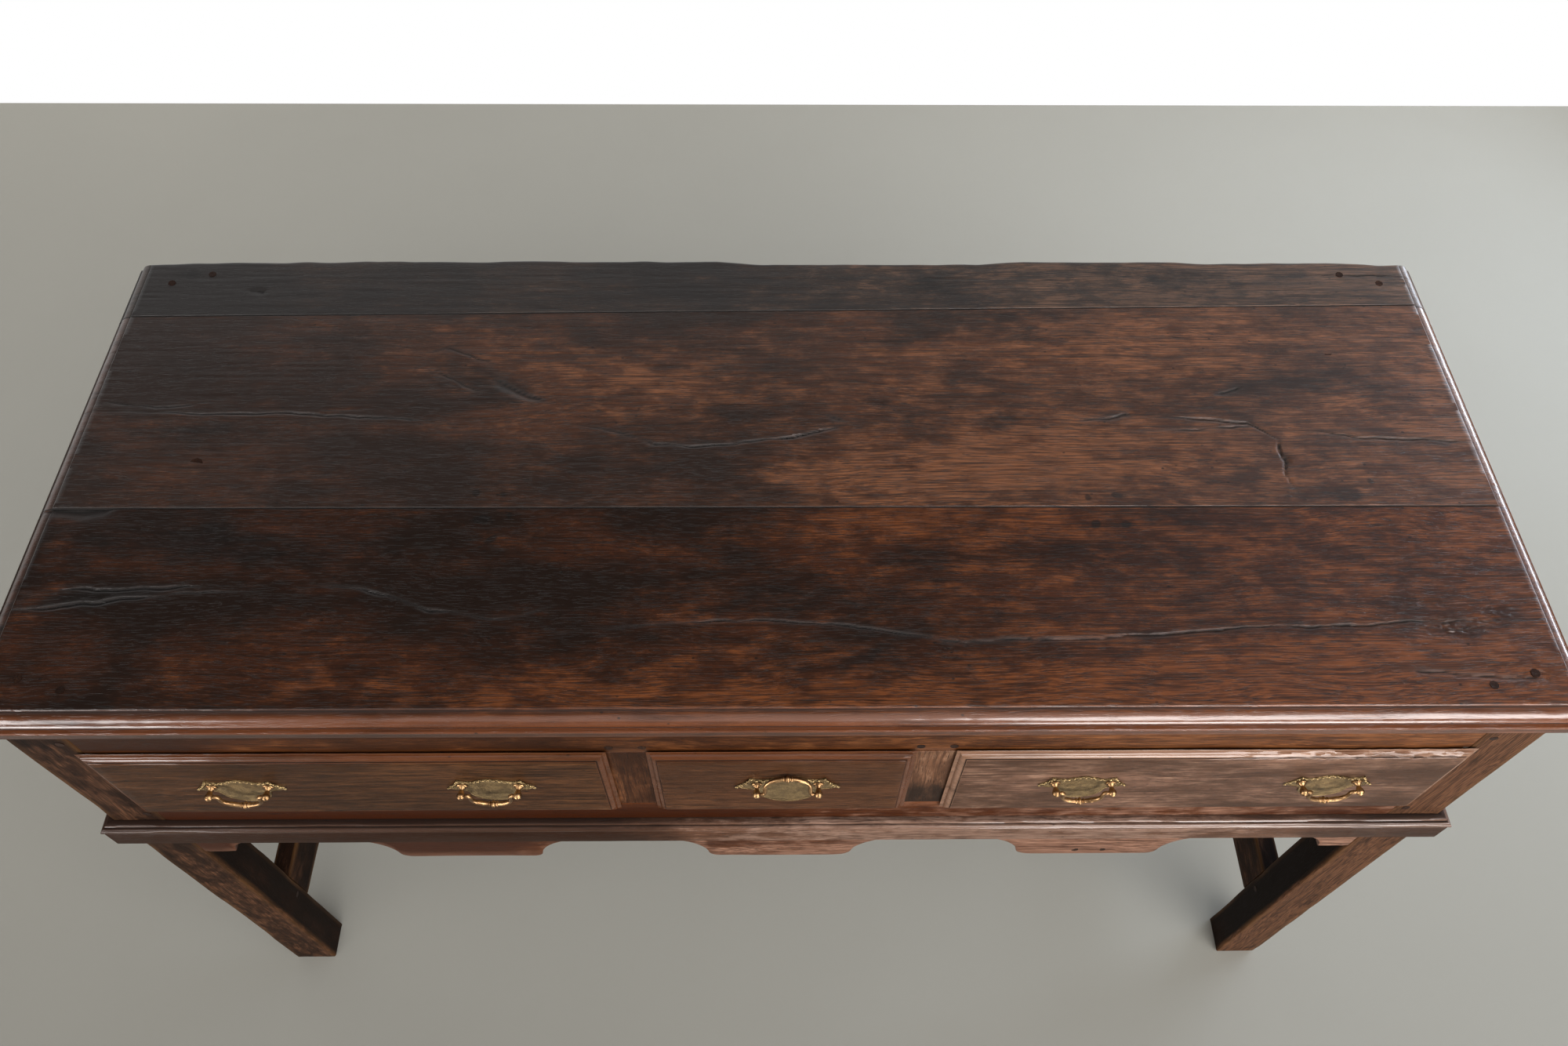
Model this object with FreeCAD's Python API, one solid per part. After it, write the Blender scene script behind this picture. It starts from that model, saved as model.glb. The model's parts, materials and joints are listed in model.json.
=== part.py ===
import FreeCAD, Part
import math
import os

# Low oak dresser: a pegged mortise-and-tenon frame on square legs, a three-board moulded top,
# three lipped and dovetailed drawers, a shaped apron under a waist moulding, and brass bail handles.
# Millimetres. X runs to the right, Y to the back, Z up. The origin is on the floor under the middle.

V = FreeCAD.Vector

# Overall sizes
top_width = 1368.0
top_depth = 540.0
overall_height = 840.0

# Top boards and the moulding worked on their front and end edges
top_thickness = 26.0
top_overhang_front = 23.0
top_overhang_back = 12.0
top_overhang_end = 4.0
front_board_width = 218.0
back_board_width_left = 83.0
back_board_width_right = 66.0
nose_radius = 9.0
nose_quirk = 2.0
nose_flat = 3.0
nose_fillet = 2.5
board_joint_gap = 0.2
mitre_tolerance = 0.001

# Legs, which run up as the corner posts
leg_width = 54.0
leg_depth = 46.0
leg_foot_chamfer = 2.5

# Front rails and muntins
rail_thickness = 24.0
top_rail_height = 83.0
opening_height = 127.0
muntin_width = 50.0
muntin_centre = 140.5
apron_height = 164.0

# Shaped lower edge of the apron
arch_rise = 54.0
drop_width = 132.0
drop_pitch = 339.0
ogee_run = 60.0
ogee_corner_radius = 12.0
bracket_rise = 22.0
bracket_width = 33.0
bracket_run = 36.0

# Waist moulding planted on the apron and returned along both ends
band_below_opening = 41.0
band_height = 42.0
band_projection = 12.0
band_bead_radius = 3.5
band_neck = 8.0
band_quirk = 1.5
band_fascia = 20.0
band_fascia_projection = 6.0

# End and back boards
end_thickness = 20.0
back_thickness = 20.0
skirt_below_band = 20.0

# Stretchers near the floor
stretcher_thickness = 25.0
stretcher_height = 75.0
stretcher_floor_gap = 150.0

# Mortise and tenon joints
tenon_thickness = 8.0
tenon_setback = 8.0
rail_tenon_length = 30.0
end_tenon_length = 22.0
end_tenon_thickness = 10.0
stretcher_tenon_length = 18.0
muntin_tenon_length = 34.0
tenon_shoulder = 9.0
tenon_clearance = 0.15

# Oak pegs
peg_radius = 4.0
peg_flats = 6
peg_edge_distance = 12.0
peg_clearance = 0.1
muntin_peg_spread = 15.0
top_peg_length = 44.0
apron_plug_centre = 341.0
apron_plug_height = 14.0

# Drawer runners and guides
runner_height = 30.0
runner_ledge = 20.0
runner_stub = 6.0
guide_height = 34.0
guide_setback = 0.5

# Drawers
drawer_bottom_gap = 0.4
drawer_top_gap = 3.0
drawer_side_gap = 1.5
drawer_back_gap = 18.0
side_thickness = 12.0
drawer_back_thickness = 12.0
bottom_thickness = 8.0
bottom_rise = 6.0
groove_depth = 5.0
groove_clearance = 0.2
lip_proud = 8.0
lip_overlap = 7.0
lip_seat_gap = 0.3
lip_radius = 6.0
lip_quirk = 1.2
lip_border = 9.5
front_behind_frame = 14.0
tail_count = 3
tail_width = 22.0
tail_slope = 6.0
front_lap = 9.0
tail_clearance = 0.1

# Bail handles; the plate's outline is that of the side handles, right half, from the middle between its posts
handle_above_centre = 8.5
handle_spread = 117.0
handle_shift = 6.0
side_bore = 53.0
side_plate_width = 81.0
middle_bore = 58.0
middle_plate_width = 96.0
plate_thickness = 1.4
plate_peak = (0, 14.5)
plate_crest = (17.0, 8.0)
plate_shoulder = (30.0, 12.0)
plate_tip = (40.5, -4.0)
plate_under = (29.0, -9.7)
plate_cusp = (22.7, -20.0)
plate_foot = (0, -36.5)
plate_arcs = [
    ((8.0, 12.5), plate_crest),
    ((23.5, 8.5), plate_shoulder),
    ((34.0, 2.5), plate_tip),
    ((35.0, -8.5), plate_under),
    ((24.3, -13.8), plate_cusp),
    ((13.8, -32.5), plate_foot),
]
ball_radius = 4.0
ball_cuts = 4
ball_tip_angle = 78.0
ball_standoff = 11.0
collar_radius = 5.4
collar_height = 1.4
neck_radius = 2.4
post_flats = 8
shank_radius = 2.2
shank_clearance = 0.2
shank_tail = 7.5
nut_width = 11.0
nut_thickness = 3.5
nut_clearance = 0.1
bail_wire_radius = 2.0
bail_pin_radius = 1.4
bail_pin_clearance = 0.08
bail_ball_gap = 0.6
bail_elbow_radius = 3.2
bail_flats = 8
bail_pin_reach = 1.3
side_bail_drop = 21.0
middle_bail_drop = 23.0
bail_side_radius = 11.0
bail_side_turn = 60.0
knop_radius = 3.2
knop_neck_radius = 2.45
knop_length = 9.0
bail_lean_back = 16.0

# Places that follow from the sizes above
top_front = -top_depth / 2
top_back = top_depth / 2
frame_front = top_front + top_overhang_front
frame_back = top_back - top_overhang_back
frame_half = top_width / 2 - top_overhang_end
frame_top = overall_height - top_thickness
leg_inner = frame_half - leg_width
front_leg_back = frame_front + leg_depth
back_leg_front = frame_back - leg_depth
rail_back = frame_front + rail_thickness
opening_top = frame_top - top_rail_height
opening_bottom = opening_top - opening_height
apron_bottom = opening_bottom - apron_height
band_top = opening_bottom - band_below_opening
band_bottom = band_top - band_height
skirt_bottom = band_bottom - skirt_below_band
back_inner = frame_back - back_thickness
end_inner = frame_half - end_thickness
runner_bottom = opening_bottom - runner_height
drawer_low = opening_bottom + drawer_bottom_gap
drawer_high = opening_top - drawer_top_gap
drawer_rear = back_inner - drawer_back_gap
face_y = frame_front - lip_proud
front_inner = frame_front + front_behind_frame
handle_z = (opening_top + opening_bottom) / 2 + handle_above_centre
pivot_y = face_y - ball_standoff
far = top_width + top_depth


def box(x0, x1, y0, y1, z0, z1):
    """Block between two corners."""
    return Part.makeBox(x1 - x0, y1 - y0, z1 - z0, V(x0, y0, z0))


def path(place, start, steps):
    """Wire edges from start: a step (a, b) is a line, a step ((a, b), (a, b)) an arc by its middle."""
    edges = []
    here = start
    for step in steps:
        if isinstance(step[0], tuple):
            middle, end = step
            edges.append(Part.Arc(place(*here), place(*middle), place(*end)).toShape())
        else:
            end = step
            edges.append(Part.LineSegment(place(*here), place(*end)).toShape())
        here = end
    return edges


def outline(place, start, steps):
    """Closed flat face whose last step comes back to start."""
    return Part.Face(Part.Wire(path(place, start, steps + [start])))


def on_circle(centre, radius, degrees):
    """Point of a circle in profile coordinates."""
    turn = math.radians(degrees)
    return (centre[0] + radius * math.cos(turn), centre[1] + radius * math.sin(turn))


def quarter(start, end, corner):
    """Arc step from start to end that hollows towards the corner between them."""
    middle_a = corner[0] + (start[0] + end[0] - 2 * corner[0]) * (1 - math.sqrt(0.5))
    middle_b = corner[1] + (start[1] + end[1] - 2 * corner[1]) * (1 - math.sqrt(0.5))
    return ((middle_a, middle_b), end)


def mirror_x(shape):
    """Same piece on the other side of the middle."""
    return shape.mirror(V(0, 0, 0), V(1, 0, 0))


def meet(first, second):
    """Common part of two moulded lengths, whose equal rounds cross in a mitre."""
    return first.common([second], mitre_tolerance)


def near(first, second):
    """Whether the boxes of two shapes meet."""
    return first.BoundBox.intersect(second.BoundBox)


def cut_where_near(shape, tools):
    """Shape less every tool whose box meets it."""
    for tool in tools:
        if near(shape, tool):
            shape = shape.cut(tool)
    return shape


def save(name, shape):
    """Write one node."""
    shape.exportStep("parts/" + name + ".step")


# Mortise and tenon joints

tenons = []


def tenon(x0, x1, y0, y1, z0, z1):
    """Tenon block, with the mortise that takes it kept for the piece it enters."""
    c = tenon_clearance
    tenons.append(box(x0 - c, x1 + c, y0 - c, y1 + c, z0 - c, z1 + c))
    return box(x0, x1, y0, y1, z0, z1)


def with_end_tenons(body, length, y0, y1, spans):
    """Rail between two legs with tenons into both, one for each height span."""
    for low, high in spans:
        body = body.fuse(tenon(leg_inner, leg_inner + length, y0, y1, low, high))
        body = body.fuse(tenon(-leg_inner - length, -leg_inner, y0, y1, low, high))
    return body.removeSplitter()


def with_depth_tenons(body, length, x0, x1, spans):
    """Board between a front and a back leg with tenons into both."""
    for low, high in spans:
        body = body.fuse(tenon(x0, x1, front_leg_back - length, front_leg_back, low, high))
        body = body.fuse(tenon(x0, x1, back_leg_front, back_leg_front + length, low, high))
    return body.removeSplitter()


# Pegs

pegs = []
top_pegs = []
peg_holes = []


def flats(radius, centre, direction, count):
    """Regular many-sided face across a direction that lies along X, Y or Z or in the XZ plane."""
    side = V(1, 0, 0) if direction.y else V(0, 1, 0)
    other = direction.cross(side)
    corners = []
    for index in range(count + 1):
        turn = math.pi * (2 * index + 1) / count
        corners.append(centre + side * (radius * math.cos(turn)) + other * (radius * math.sin(turn)))
    return Part.Face(Part.makePolygon(corners))


def rived(radius, length, start, direction):
    """Many-sided rod, as a peg is split and pared to shape."""
    return flats(radius, start, direction, peg_flats).extrude(direction * length)


def peg(start, direction, length, group):
    """Oak peg and the hole that it fills."""
    group.append(rived(peg_radius, length, start, direction))
    peg_holes.append(rived(peg_radius + peg_clearance, length, start, direction))


def peg_from_front(x, z):
    peg(V(x, frame_front, z), V(0, 1, 0), rail_thickness, pegs)


def peg_from_back(x, z):
    peg(V(x, frame_back, z), V(0, -1, 0), rail_thickness, pegs)


def peg_from_outside(side, y, z):
    peg(V(side * frame_half, y, z), V(-side, 0, 0), end_thickness, pegs)


def peg_from_inside(side, y, z):
    peg(V(side * leg_inner, y, z), V(side, 0, 0), stretcher_thickness, pegs)


def add_frame_pegs():
    """Two pegs for each front rail tenon and muntin, one for each other tenon, two plugs in the apron."""
    inset = leg_inner + peg_edge_distance
    upper = frame_top - 2 * peg_edge_distance
    lower = opening_bottom - 2 * peg_edge_distance
    board_levels = (skirt_bottom + 3 * peg_edge_distance, upper)
    stretcher_middle = stretcher_floor_gap + stretcher_height / 2
    for side in (-1, 1):
        for z in (upper, opening_top + 2 * peg_edge_distance, lower, band_bottom - peg_edge_distance):
            peg_from_front(side * inset, z)
        for z in board_levels:
            peg_from_back(side * inset, z)
            peg_from_outside(side, front_leg_back - peg_edge_distance, z)
            peg_from_outside(side, back_leg_front + peg_edge_distance, z)
        for spread in (-muntin_peg_spread, muntin_peg_spread):
            peg_from_front(side * muntin_centre + spread, opening_top + peg_edge_distance)
        peg_from_inside(side, front_leg_back - peg_edge_distance, stretcher_middle)
        peg_from_inside(side, back_leg_front + peg_edge_distance, stretcher_middle)
        peg_from_back(side * inset, stretcher_middle)
    for spread in (-muntin_peg_spread, muntin_peg_spread):
        peg_from_front(apron_plug_centre + spread, apron_bottom + apron_plug_height)


def add_top_pegs():
    """Pegs through the top at each corner, one into the leg and one into the rail or board beside it."""
    down = V(0, 0, -1)
    front_rows = (frame_front + leg_depth / 2, frame_front + rail_thickness / 2)
    back_rows = (frame_back - leg_depth / 2, frame_back - back_thickness / 2)
    for side in (-1, 1):
        for leg_y, rail_y in (front_rows, back_rows):
            leg_x = side * (leg_inner + peg_edge_distance)
            rail_x = side * (leg_inner - leg_width / 2)
            peg(V(leg_x, leg_y, overall_height), down, top_peg_length, top_pegs)
            peg(V(rail_x, rail_y, overall_height), down, top_peg_length, top_pegs)


# Top

def nose_profile(place, reach):
    """Section of a moulded board edge: quirk, thumb round, flat, fillet and plain lower face."""
    quirk_bottom = nose_quirk + nose_radius
    start = (reach, 0)
    steps = [
        (nose_radius, 0),
        (nose_radius, nose_quirk),
        (on_circle((nose_radius, quirk_bottom), nose_radius, 225), (0, quirk_bottom)),
        (0, quirk_bottom + nose_flat),
        (nose_fillet, quirk_bottom + nose_flat),
        (nose_fillet, top_thickness),
        (reach, top_thickness),
    ]
    return outline(place, start, steps)


def whole_top():
    """Moulded slab: three edge sections run through one another meet in true mitres."""
    half = top_width / 2
    height = overall_height
    front = nose_profile(lambda e, d: V(-half, top_front + e, height - d), top_depth)
    left = nose_profile(lambda e, d: V(-half + e, top_front, height - d), far)
    right = nose_profile(lambda e, d: V(half - e, top_front, height - d), far)
    slab = front.extrude(V(top_width, 0, 0))
    slab = meet(slab, left.extrude(V(0, top_depth, 0)))
    return meet(slab, right.extrude(V(0, top_depth, 0)))


def strip(y_left_low, y_right_low, y_left_high, y_right_high):
    """Upright prism between two lines that run from the left end to the right end."""
    half = top_width / 2
    corners = [(-half, y_left_low), (half, y_right_low), (half, y_right_high), (-half, y_left_high)]
    face = outline(lambda x, y: V(x, y, frame_top), corners[0], corners[1:])
    return face.extrude(V(0, 0, top_thickness))


def build_top():
    """Front, middle and back boards; the joint to the back board runs slightly askew."""
    gap = board_joint_gap
    slab = cut_where_near(whole_top(), peg_holes)
    front_joint = top_front + front_board_width
    joint_left = top_back - back_board_width_left
    joint_right = top_back - back_board_width_right
    front = strip(top_front, top_front, front_joint, front_joint)
    middle = strip(front_joint + gap, front_joint + gap, joint_left, joint_right)
    back = strip(joint_left + gap, joint_right + gap, top_back, top_back)
    save("top_board_front", slab.common(front))
    save("top_board_middle", slab.common(middle))
    save("top_board_back", slab.common(back))


# Frame

def leg(x_inner, x_outer, y0, y1):
    """Square leg with worn arrises at the foot."""
    post = box(min(x_inner, x_outer), max(x_inner, x_outer), y0, y1, 0, frame_top)
    foot_edges = [edge for edge in post.Edges if edge.BoundBox.ZMax < leg_foot_chamfer]
    return post.makeChamfer(leg_foot_chamfer, foot_edges)


def build_legs():
    for side, word in ((-1, "left"), (1, "right")):
        for y0, y1, end in ((frame_front, front_leg_back, "front"), (back_leg_front, frame_back, "back")):
            post = leg(side * leg_inner, side * frame_half, y0, y1)
            post = cut_where_near(post, tenons + peg_holes)
            save("leg_" + end + "_" + word, post)


def ogee(x, way):
    """Points of the S-curve from the end of a drop up to an arch: two arcs that meet in one tangent."""
    turn = 2 * math.degrees(math.atan2(arch_rise, ogee_run))
    arch_radius = ogee_run / math.sin(math.radians(turn)) - ogee_corner_radius
    corner = (x, apron_bottom + ogee_corner_radius)
    arch = (x + way * ogee_run, apron_bottom + arch_rise - arch_radius)
    low = (x, apron_bottom)
    join = on_circle(corner, ogee_corner_radius, -90 + way * turn)
    high = (arch[0], apron_bottom + arch_rise)
    corner_middle = on_circle(corner, ogee_corner_radius, -90 + way * turn / 2)
    arch_middle = on_circle(arch, arch_radius, 90 + way * turn / 2)
    return low, join, high, corner_middle, arch_middle


def apron_outline():
    """Face of the apron: two leg brackets, three drops and four arches between them."""
    arch_z = apron_bottom + arch_rise
    bracket_z = apron_bottom + bracket_rise
    x = -leg_inner
    start = (x, opening_bottom)
    steps = [(x, bracket_z), (x + bracket_width, bracket_z)]
    foot = (x + bracket_width, bracket_z)
    spring = (foot[0] + bracket_run, arch_z)
    steps.append(quarter(foot, spring, (foot[0], arch_z)))
    for drop in (-1, 0, 1):
        left = drop * drop_pitch - drop_width / 2
        right = left + drop_width
        low, join, high, corner_middle, arch_middle = ogee(left, -1)
        steps += [high, (arch_middle, join), (corner_middle, low)]
        low, join, high, corner_middle, arch_middle = ogee(right, 1)
        steps += [low, (corner_middle, join), (arch_middle, high)]
    foot = (leg_inner - bracket_width, bracket_z)
    steps.append((foot[0] - bracket_run, arch_z))
    steps.append(quarter((foot[0] - bracket_run, arch_z), foot, (foot[0], arch_z)))
    steps.append((leg_inner, bracket_z))
    steps.append((leg_inner, opening_bottom))
    return outline(lambda a, b: V(a, frame_front, b), start, steps)


def build_front():
    """Top rail, apron and muntins, flush with the legs."""
    y0 = frame_front + tenon_setback
    y1 = y0 + tenon_thickness
    muntin_tenon = muntin_width / 2 - tenon_shoulder / 2
    muntins = {}
    for side, word in ((-1, "left"), (1, "right")):
        x = side * muntin_centre
        half = muntin_width / 2
        body = box(x - half, x + half, frame_front, rail_back, opening_bottom, opening_top)
        x0 = x - muntin_tenon
        x1 = x + muntin_tenon
        upper = tenon(x0, x1, y0, y1, opening_top, opening_top + muntin_tenon_length)
        lower = tenon(x0, x1, y0, y1, opening_bottom - muntin_tenon_length, opening_bottom)
        muntins["muntin_" + word] = body.fuse([upper, lower]).removeSplitter()
    muntin_mortises = list(tenons)

    rail = box(-leg_inner, leg_inner, frame_front, rail_back, opening_top, frame_top)
    rail_span = (opening_top + tenon_shoulder, frame_top - tenon_shoulder)
    rail = with_end_tenons(rail, rail_tenon_length, y0, y1, [rail_span])
    rail = cut_where_near(rail, muntin_mortises)

    apron = apron_outline().extrude(V(0, rail_thickness, 0))
    apron_span = (apron_bottom + bracket_rise + tenon_shoulder, opening_bottom - tenon_shoulder)
    apron = with_end_tenons(apron, rail_tenon_length, y0, y1, [apron_span])
    apron = cut_where_near(apron, muntin_mortises)
    apron = cut_where_near(apron, runner_stubs())

    for name, piece in muntins.items():
        save(name, cut_where_near(piece, peg_holes))
    save("front_top_rail", cut_where_near(rail, peg_holes))
    save("apron_rail", cut_where_near(apron, peg_holes))


def split_spans(low, high):
    """Two tenons on a wide board, with a gap left between them."""
    middle = (low + high) / 2
    lower = (low + tenon_shoulder, middle - tenon_shoulder)
    upper = (middle + tenon_shoulder, high - tenon_shoulder)
    return [lower, upper]


def build_ends_and_back():
    """Flush end boards and two horizontal back boards, tenoned between the legs."""
    t0 = end_inner + (end_thickness - end_tenon_thickness) / 2
    t1 = t0 + end_tenon_thickness
    for side, word in ((-1, "left"), (1, "right")):
        x0, x1 = sorted((side * end_inner, side * frame_half))
        m0, m1 = sorted((side * t0, side * t1))
        board = box(x0, x1, front_leg_back, back_leg_front, skirt_bottom, frame_top)
        board = with_depth_tenons(board, end_tenon_length, m0, m1, split_spans(skirt_bottom, frame_top))
        save("end_board_" + word, cut_where_near(board, peg_holes))

    y0 = back_inner + (back_thickness - tenon_thickness) / 2
    middle = (skirt_bottom + frame_top) / 2
    heights = {"lower": (skirt_bottom, middle - board_joint_gap), "upper": (middle, frame_top)}
    for word, (low, high) in heights.items():
        board = box(-leg_inner, leg_inner, back_inner, frame_back, low, high)
        span = (low + tenon_shoulder, high - tenon_shoulder)
        board = with_end_tenons(board, rail_tenon_length, y0, y0 + tenon_thickness, [span])
        board = cut_where_near(board, runner_stubs())
        save("back_board_" + word, cut_where_near(board, peg_holes))


def build_stretchers():
    """Side stretchers flush with the inside of the legs, and one between the back legs."""
    low = stretcher_floor_gap
    high = low + stretcher_height
    span = (low + tenon_shoulder, high - tenon_shoulder)
    t0 = leg_inner + (stretcher_thickness - end_tenon_thickness) / 2
    t1 = t0 + end_tenon_thickness
    for side, word in ((-1, "left"), (1, "right")):
        x0, x1 = sorted((side * leg_inner, side * (leg_inner + stretcher_thickness)))
        m0, m1 = sorted((side * t0, side * t1))
        bar = box(x0, x1, front_leg_back, back_leg_front, low, high)
        bar = with_depth_tenons(bar, stretcher_tenon_length, m0, m1, [span])
        save("stretcher_" + word, cut_where_near(bar, peg_holes))
    bar = box(-leg_inner, leg_inner, frame_back - stretcher_thickness, frame_back, low, high)
    y1 = frame_back - tenon_setback
    bar = with_end_tenons(bar, rail_tenon_length, y1 - tenon_thickness, y1, [span])
    save("stretcher_back", cut_where_near(bar, peg_holes))


# Waist moulding

def band_profile(place):
    """Section of the waist moulding: sloped top, bead, quirk, hollow and plain lower fascia."""
    bead_low = band_top - band_quirk - 2 * band_bead_radius
    bead_high = band_top - band_quirk
    bead_centre = (band_projection - band_bead_radius, (bead_low + bead_high) / 2)
    fascia_top = band_bottom + band_fascia
    start = (0, band_top)
    steps = [
        (bead_centre[0], bead_high),
        (on_circle(bead_centre, band_bead_radius, 0), (bead_centre[0], bead_low)),
        (band_neck, bead_low),
        (band_neck, bead_low - band_quirk),
        (band_projection - band_quirk, bead_low - band_quirk),
        quarter((band_projection - band_quirk, bead_low - band_quirk), (band_neck, fascia_top),
                (band_projection - band_quirk, fascia_top)),
        (band_fascia_projection, fascia_top - band_quirk),
        (band_fascia_projection, band_bottom),
        (0, band_bottom),
    ]
    return outline(place, start, steps)


def build_band():
    """Front length and two returns, mitred at the corners of the posts."""
    p = band_projection
    tall = band_height
    front = band_profile(lambda out, z: V(-frame_half - p, frame_front - out, z))
    front = front.extrude(V(2 * (frame_half + p), 0, 0))
    corners = [(-frame_half - p, frame_front - p), (frame_half + p, frame_front - p),
               (frame_half, frame_front), (-frame_half, frame_front)]
    mitre = outline(lambda x, y: V(x, y, band_bottom), corners[0], corners[1:]).extrude(V(0, 0, tall))
    save("waist_moulding_front", front.common(mitre))

    side = band_profile(lambda out, z: V(frame_half + out, frame_front - p, z))
    side = side.extrude(V(0, frame_back - frame_front + p, 0))
    corners = [(frame_half, frame_front), (frame_half + p, frame_front - p),
               (frame_half + p, frame_back), (frame_half, frame_back)]
    mitre = outline(lambda x, y: V(x, y, band_bottom), corners[0], corners[1:]).extrude(V(0, 0, tall))
    side = side.common(mitre)
    save("waist_moulding_right", side)
    save("waist_moulding_left", mirror_x(side))


# Drawer runners and guides

def runner_spans():
    """Name and X span of the four runners, left to right."""
    ledge = muntin_width / 2 + runner_ledge
    return [
        ("runner_end_left", -leg_inner, -leg_inner + runner_ledge),
        ("runner_centre_left", -muntin_centre - ledge, -muntin_centre + ledge),
        ("runner_centre_right", muntin_centre - ledge, muntin_centre + ledge),
        ("runner_end_right", leg_inner - runner_ledge, leg_inner),
    ]


def runner(x0, x1, clearance):
    """Bearer housed into the apron in front and the lower back board behind."""
    c = clearance
    return box(x0 - c, x1 + c, rail_back - runner_stub - c, back_inner + runner_stub + c,
               runner_bottom - c, opening_bottom)


def runner_stubs():
    """Housings that take the ends of the runners."""
    return [runner(x0, x1, tenon_clearance) for name, x0, x1 in runner_spans()]


def build_runners():
    for name, x0, x1 in runner_spans():
        save(name, runner(x0, x1, 0))
    half = muntin_width / 2 - guide_setback
    guide_top = opening_bottom + guide_height
    guides = []
    for side in (-1, 1):
        x = side * muntin_centre
        guides.append(box(x - half, x + half, rail_back, back_inner, opening_bottom, guide_top))
        x0, x1 = sorted((side * (leg_inner + guide_setback), side * end_inner))
        guides.append(box(x0, x1, front_leg_back, back_leg_front, runner_bottom, guide_top))
    save("drawer_guides", Part.makeCompound(guides))


# Drawers

def lip_profile(place, reach):
    """Section of a lipped drawer edge: quirk, ovolo and a small upright fillet."""
    back = lip_proud - lip_seat_gap
    start = (reach, 0)
    round_top = (lip_border, lip_quirk)
    round_low = (lip_border - lip_radius, lip_quirk + lip_radius)
    steps = [
        (lip_border, 0),
        round_top,
        (on_circle((lip_border, lip_quirk + lip_radius), lip_radius, 225), round_low),
        (0, round_low[1]),
        (0, back),
        (reach, back),
    ]
    return outline(place, start, steps)


def lipped_face(x0, x1, z0, z1):
    """Raised face of a drawer front with the same moulding mitred round all four sides."""
    left = lip_profile(lambda e, d: V(x0 + e, face_y + d, z0), far).extrude(V(0, 0, z1 - z0))
    right = lip_profile(lambda e, d: V(x1 - e, face_y + d, z0), far).extrude(V(0, 0, z1 - z0))
    low = lip_profile(lambda e, d: V(x0, face_y + d, z0 + e), far).extrude(V(x1 - x0, 0, 0))
    high = lip_profile(lambda e, d: V(x0, face_y + d, z1 - e), far).extrude(V(x1 - x0, 0, 0))
    return meet(meet(left, low), meet(right, high))


def tails(x0, x1, root_y, end_y, low, high, clearance):
    """Row of dovetails on the end of a drawer side, wider at their ends than at their roots."""
    pitch = (high - low) / tail_count
    flare = abs(end_y - root_y) / tail_slope
    shapes = []
    for index in range(tail_count):
        z = low + (index + 0.5) * pitch
        root = tail_width / 2 + clearance
        end = root + flare
        corners = [(root_y, z - root), (end_y, z - end), (end_y, z + end), (root_y, z + root)]
        face = outline(lambda y, h: V(x0, y, h), corners[0], corners[1:])
        shapes.append(face.extrude(V(x1 - x0, 0, 0)))
    return shapes


def build_drawer(word, open_left, open_right, handle_places, handle_size):
    """One drawer: lipped front, dovetailed sides and back, and a bottom let into grooves."""
    bore, plate_width, drop = handle_size
    x0 = open_left + drawer_side_gap
    x1 = open_right - drawer_side_gap
    floor = drawer_low + bottom_rise
    groove_top = floor + bottom_thickness
    lap_y = face_y + front_lap
    back_root = drawer_rear - drawer_back_thickness
    side_spans = {"left": (x0, x0 + side_thickness), "right": (x1 - side_thickness, x1)}
    g = groove_clearance
    groove = box(x0 + side_thickness - groove_depth, x1 - side_thickness + groove_depth,
                 front_inner - groove_depth, drawer_rear, floor - g, groove_top + g)

    front = lipped_face(open_left - lip_overlap, open_right + lip_overlap,
                        opening_bottom - lip_overlap, opening_top + lip_overlap)
    front = front.fuse(box(x0, x1, face_y + lip_proud / 2, front_inner, drawer_low, drawer_high))
    front = front.removeSplitter()
    back = box(x0, x1, back_root, drawer_rear, groove_top + g, drawer_high)

    for hand, (s0, s1) in side_spans.items():
        front_row = (s0, s1, front_inner, lap_y, drawer_low, drawer_high)
        back_row = (s0, s1, back_root, drawer_rear, groove_top + g, drawer_high)
        side = box(s0, s1, front_inner, back_root, drawer_low, drawer_high)
        side = side.fuse(tails(*front_row, 0) + tails(*back_row, 0)).removeSplitter()
        front = front.cut(Part.makeCompound(tails(*front_row, tail_clearance)))
        back = back.cut(Part.makeCompound(tails(*back_row, tail_clearance)))
        save(word + "_drawer_side_" + hand, side.cut(groove))

    bottom = box(x0 + side_thickness - groove_depth + g, x1 - side_thickness + groove_depth - g,
                 front_inner - groove_depth + g, drawer_rear, floor, groove_top)
    front_groove = box(x0 + side_thickness - groove_depth, x1 - side_thickness + groove_depth,
                       front_inner - groove_depth, front_inner, floor - g, groove_top + g)
    front = front.cut(front_groove)
    shank_places = [x + offset for x in handle_places for offset in (-bore / 2, bore / 2)]
    for x in shank_places:
        front = front.cut(drilled(x, shank_radius + shank_clearance))
    save(word + "_drawer_front", front)
    save(word + "_drawer_back", back)
    save(word + "_drawer_bottom", bottom)

    posts = [post(x + side * bore / 2, side) for x in handle_places for side in (-1, 1)]
    save(word + "_handle_posts", Part.makeCompound(posts))
    save(word + "_handle_nuts", Part.makeCompound([nut(x) for x in shank_places]))
    for number, x in enumerate(handle_places):
        suffix = "" if len(handle_places) == 1 else "_" + str(number + 1)
        save(word + "_handle_plate" + suffix, plate(x, bore, plate_width))
        raised = len(handle_places) == 1
        save(word + "_handle_bail" + suffix, bail(x, bore, drop, raised))


# Handles

def drilled(x, radius):
    """Hole bored from the face right through a drawer front at handle height."""
    return Part.makeCylinder(radius, far, V(x, face_y - plate_thickness, handle_z), V(0, 1, 0))


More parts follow.
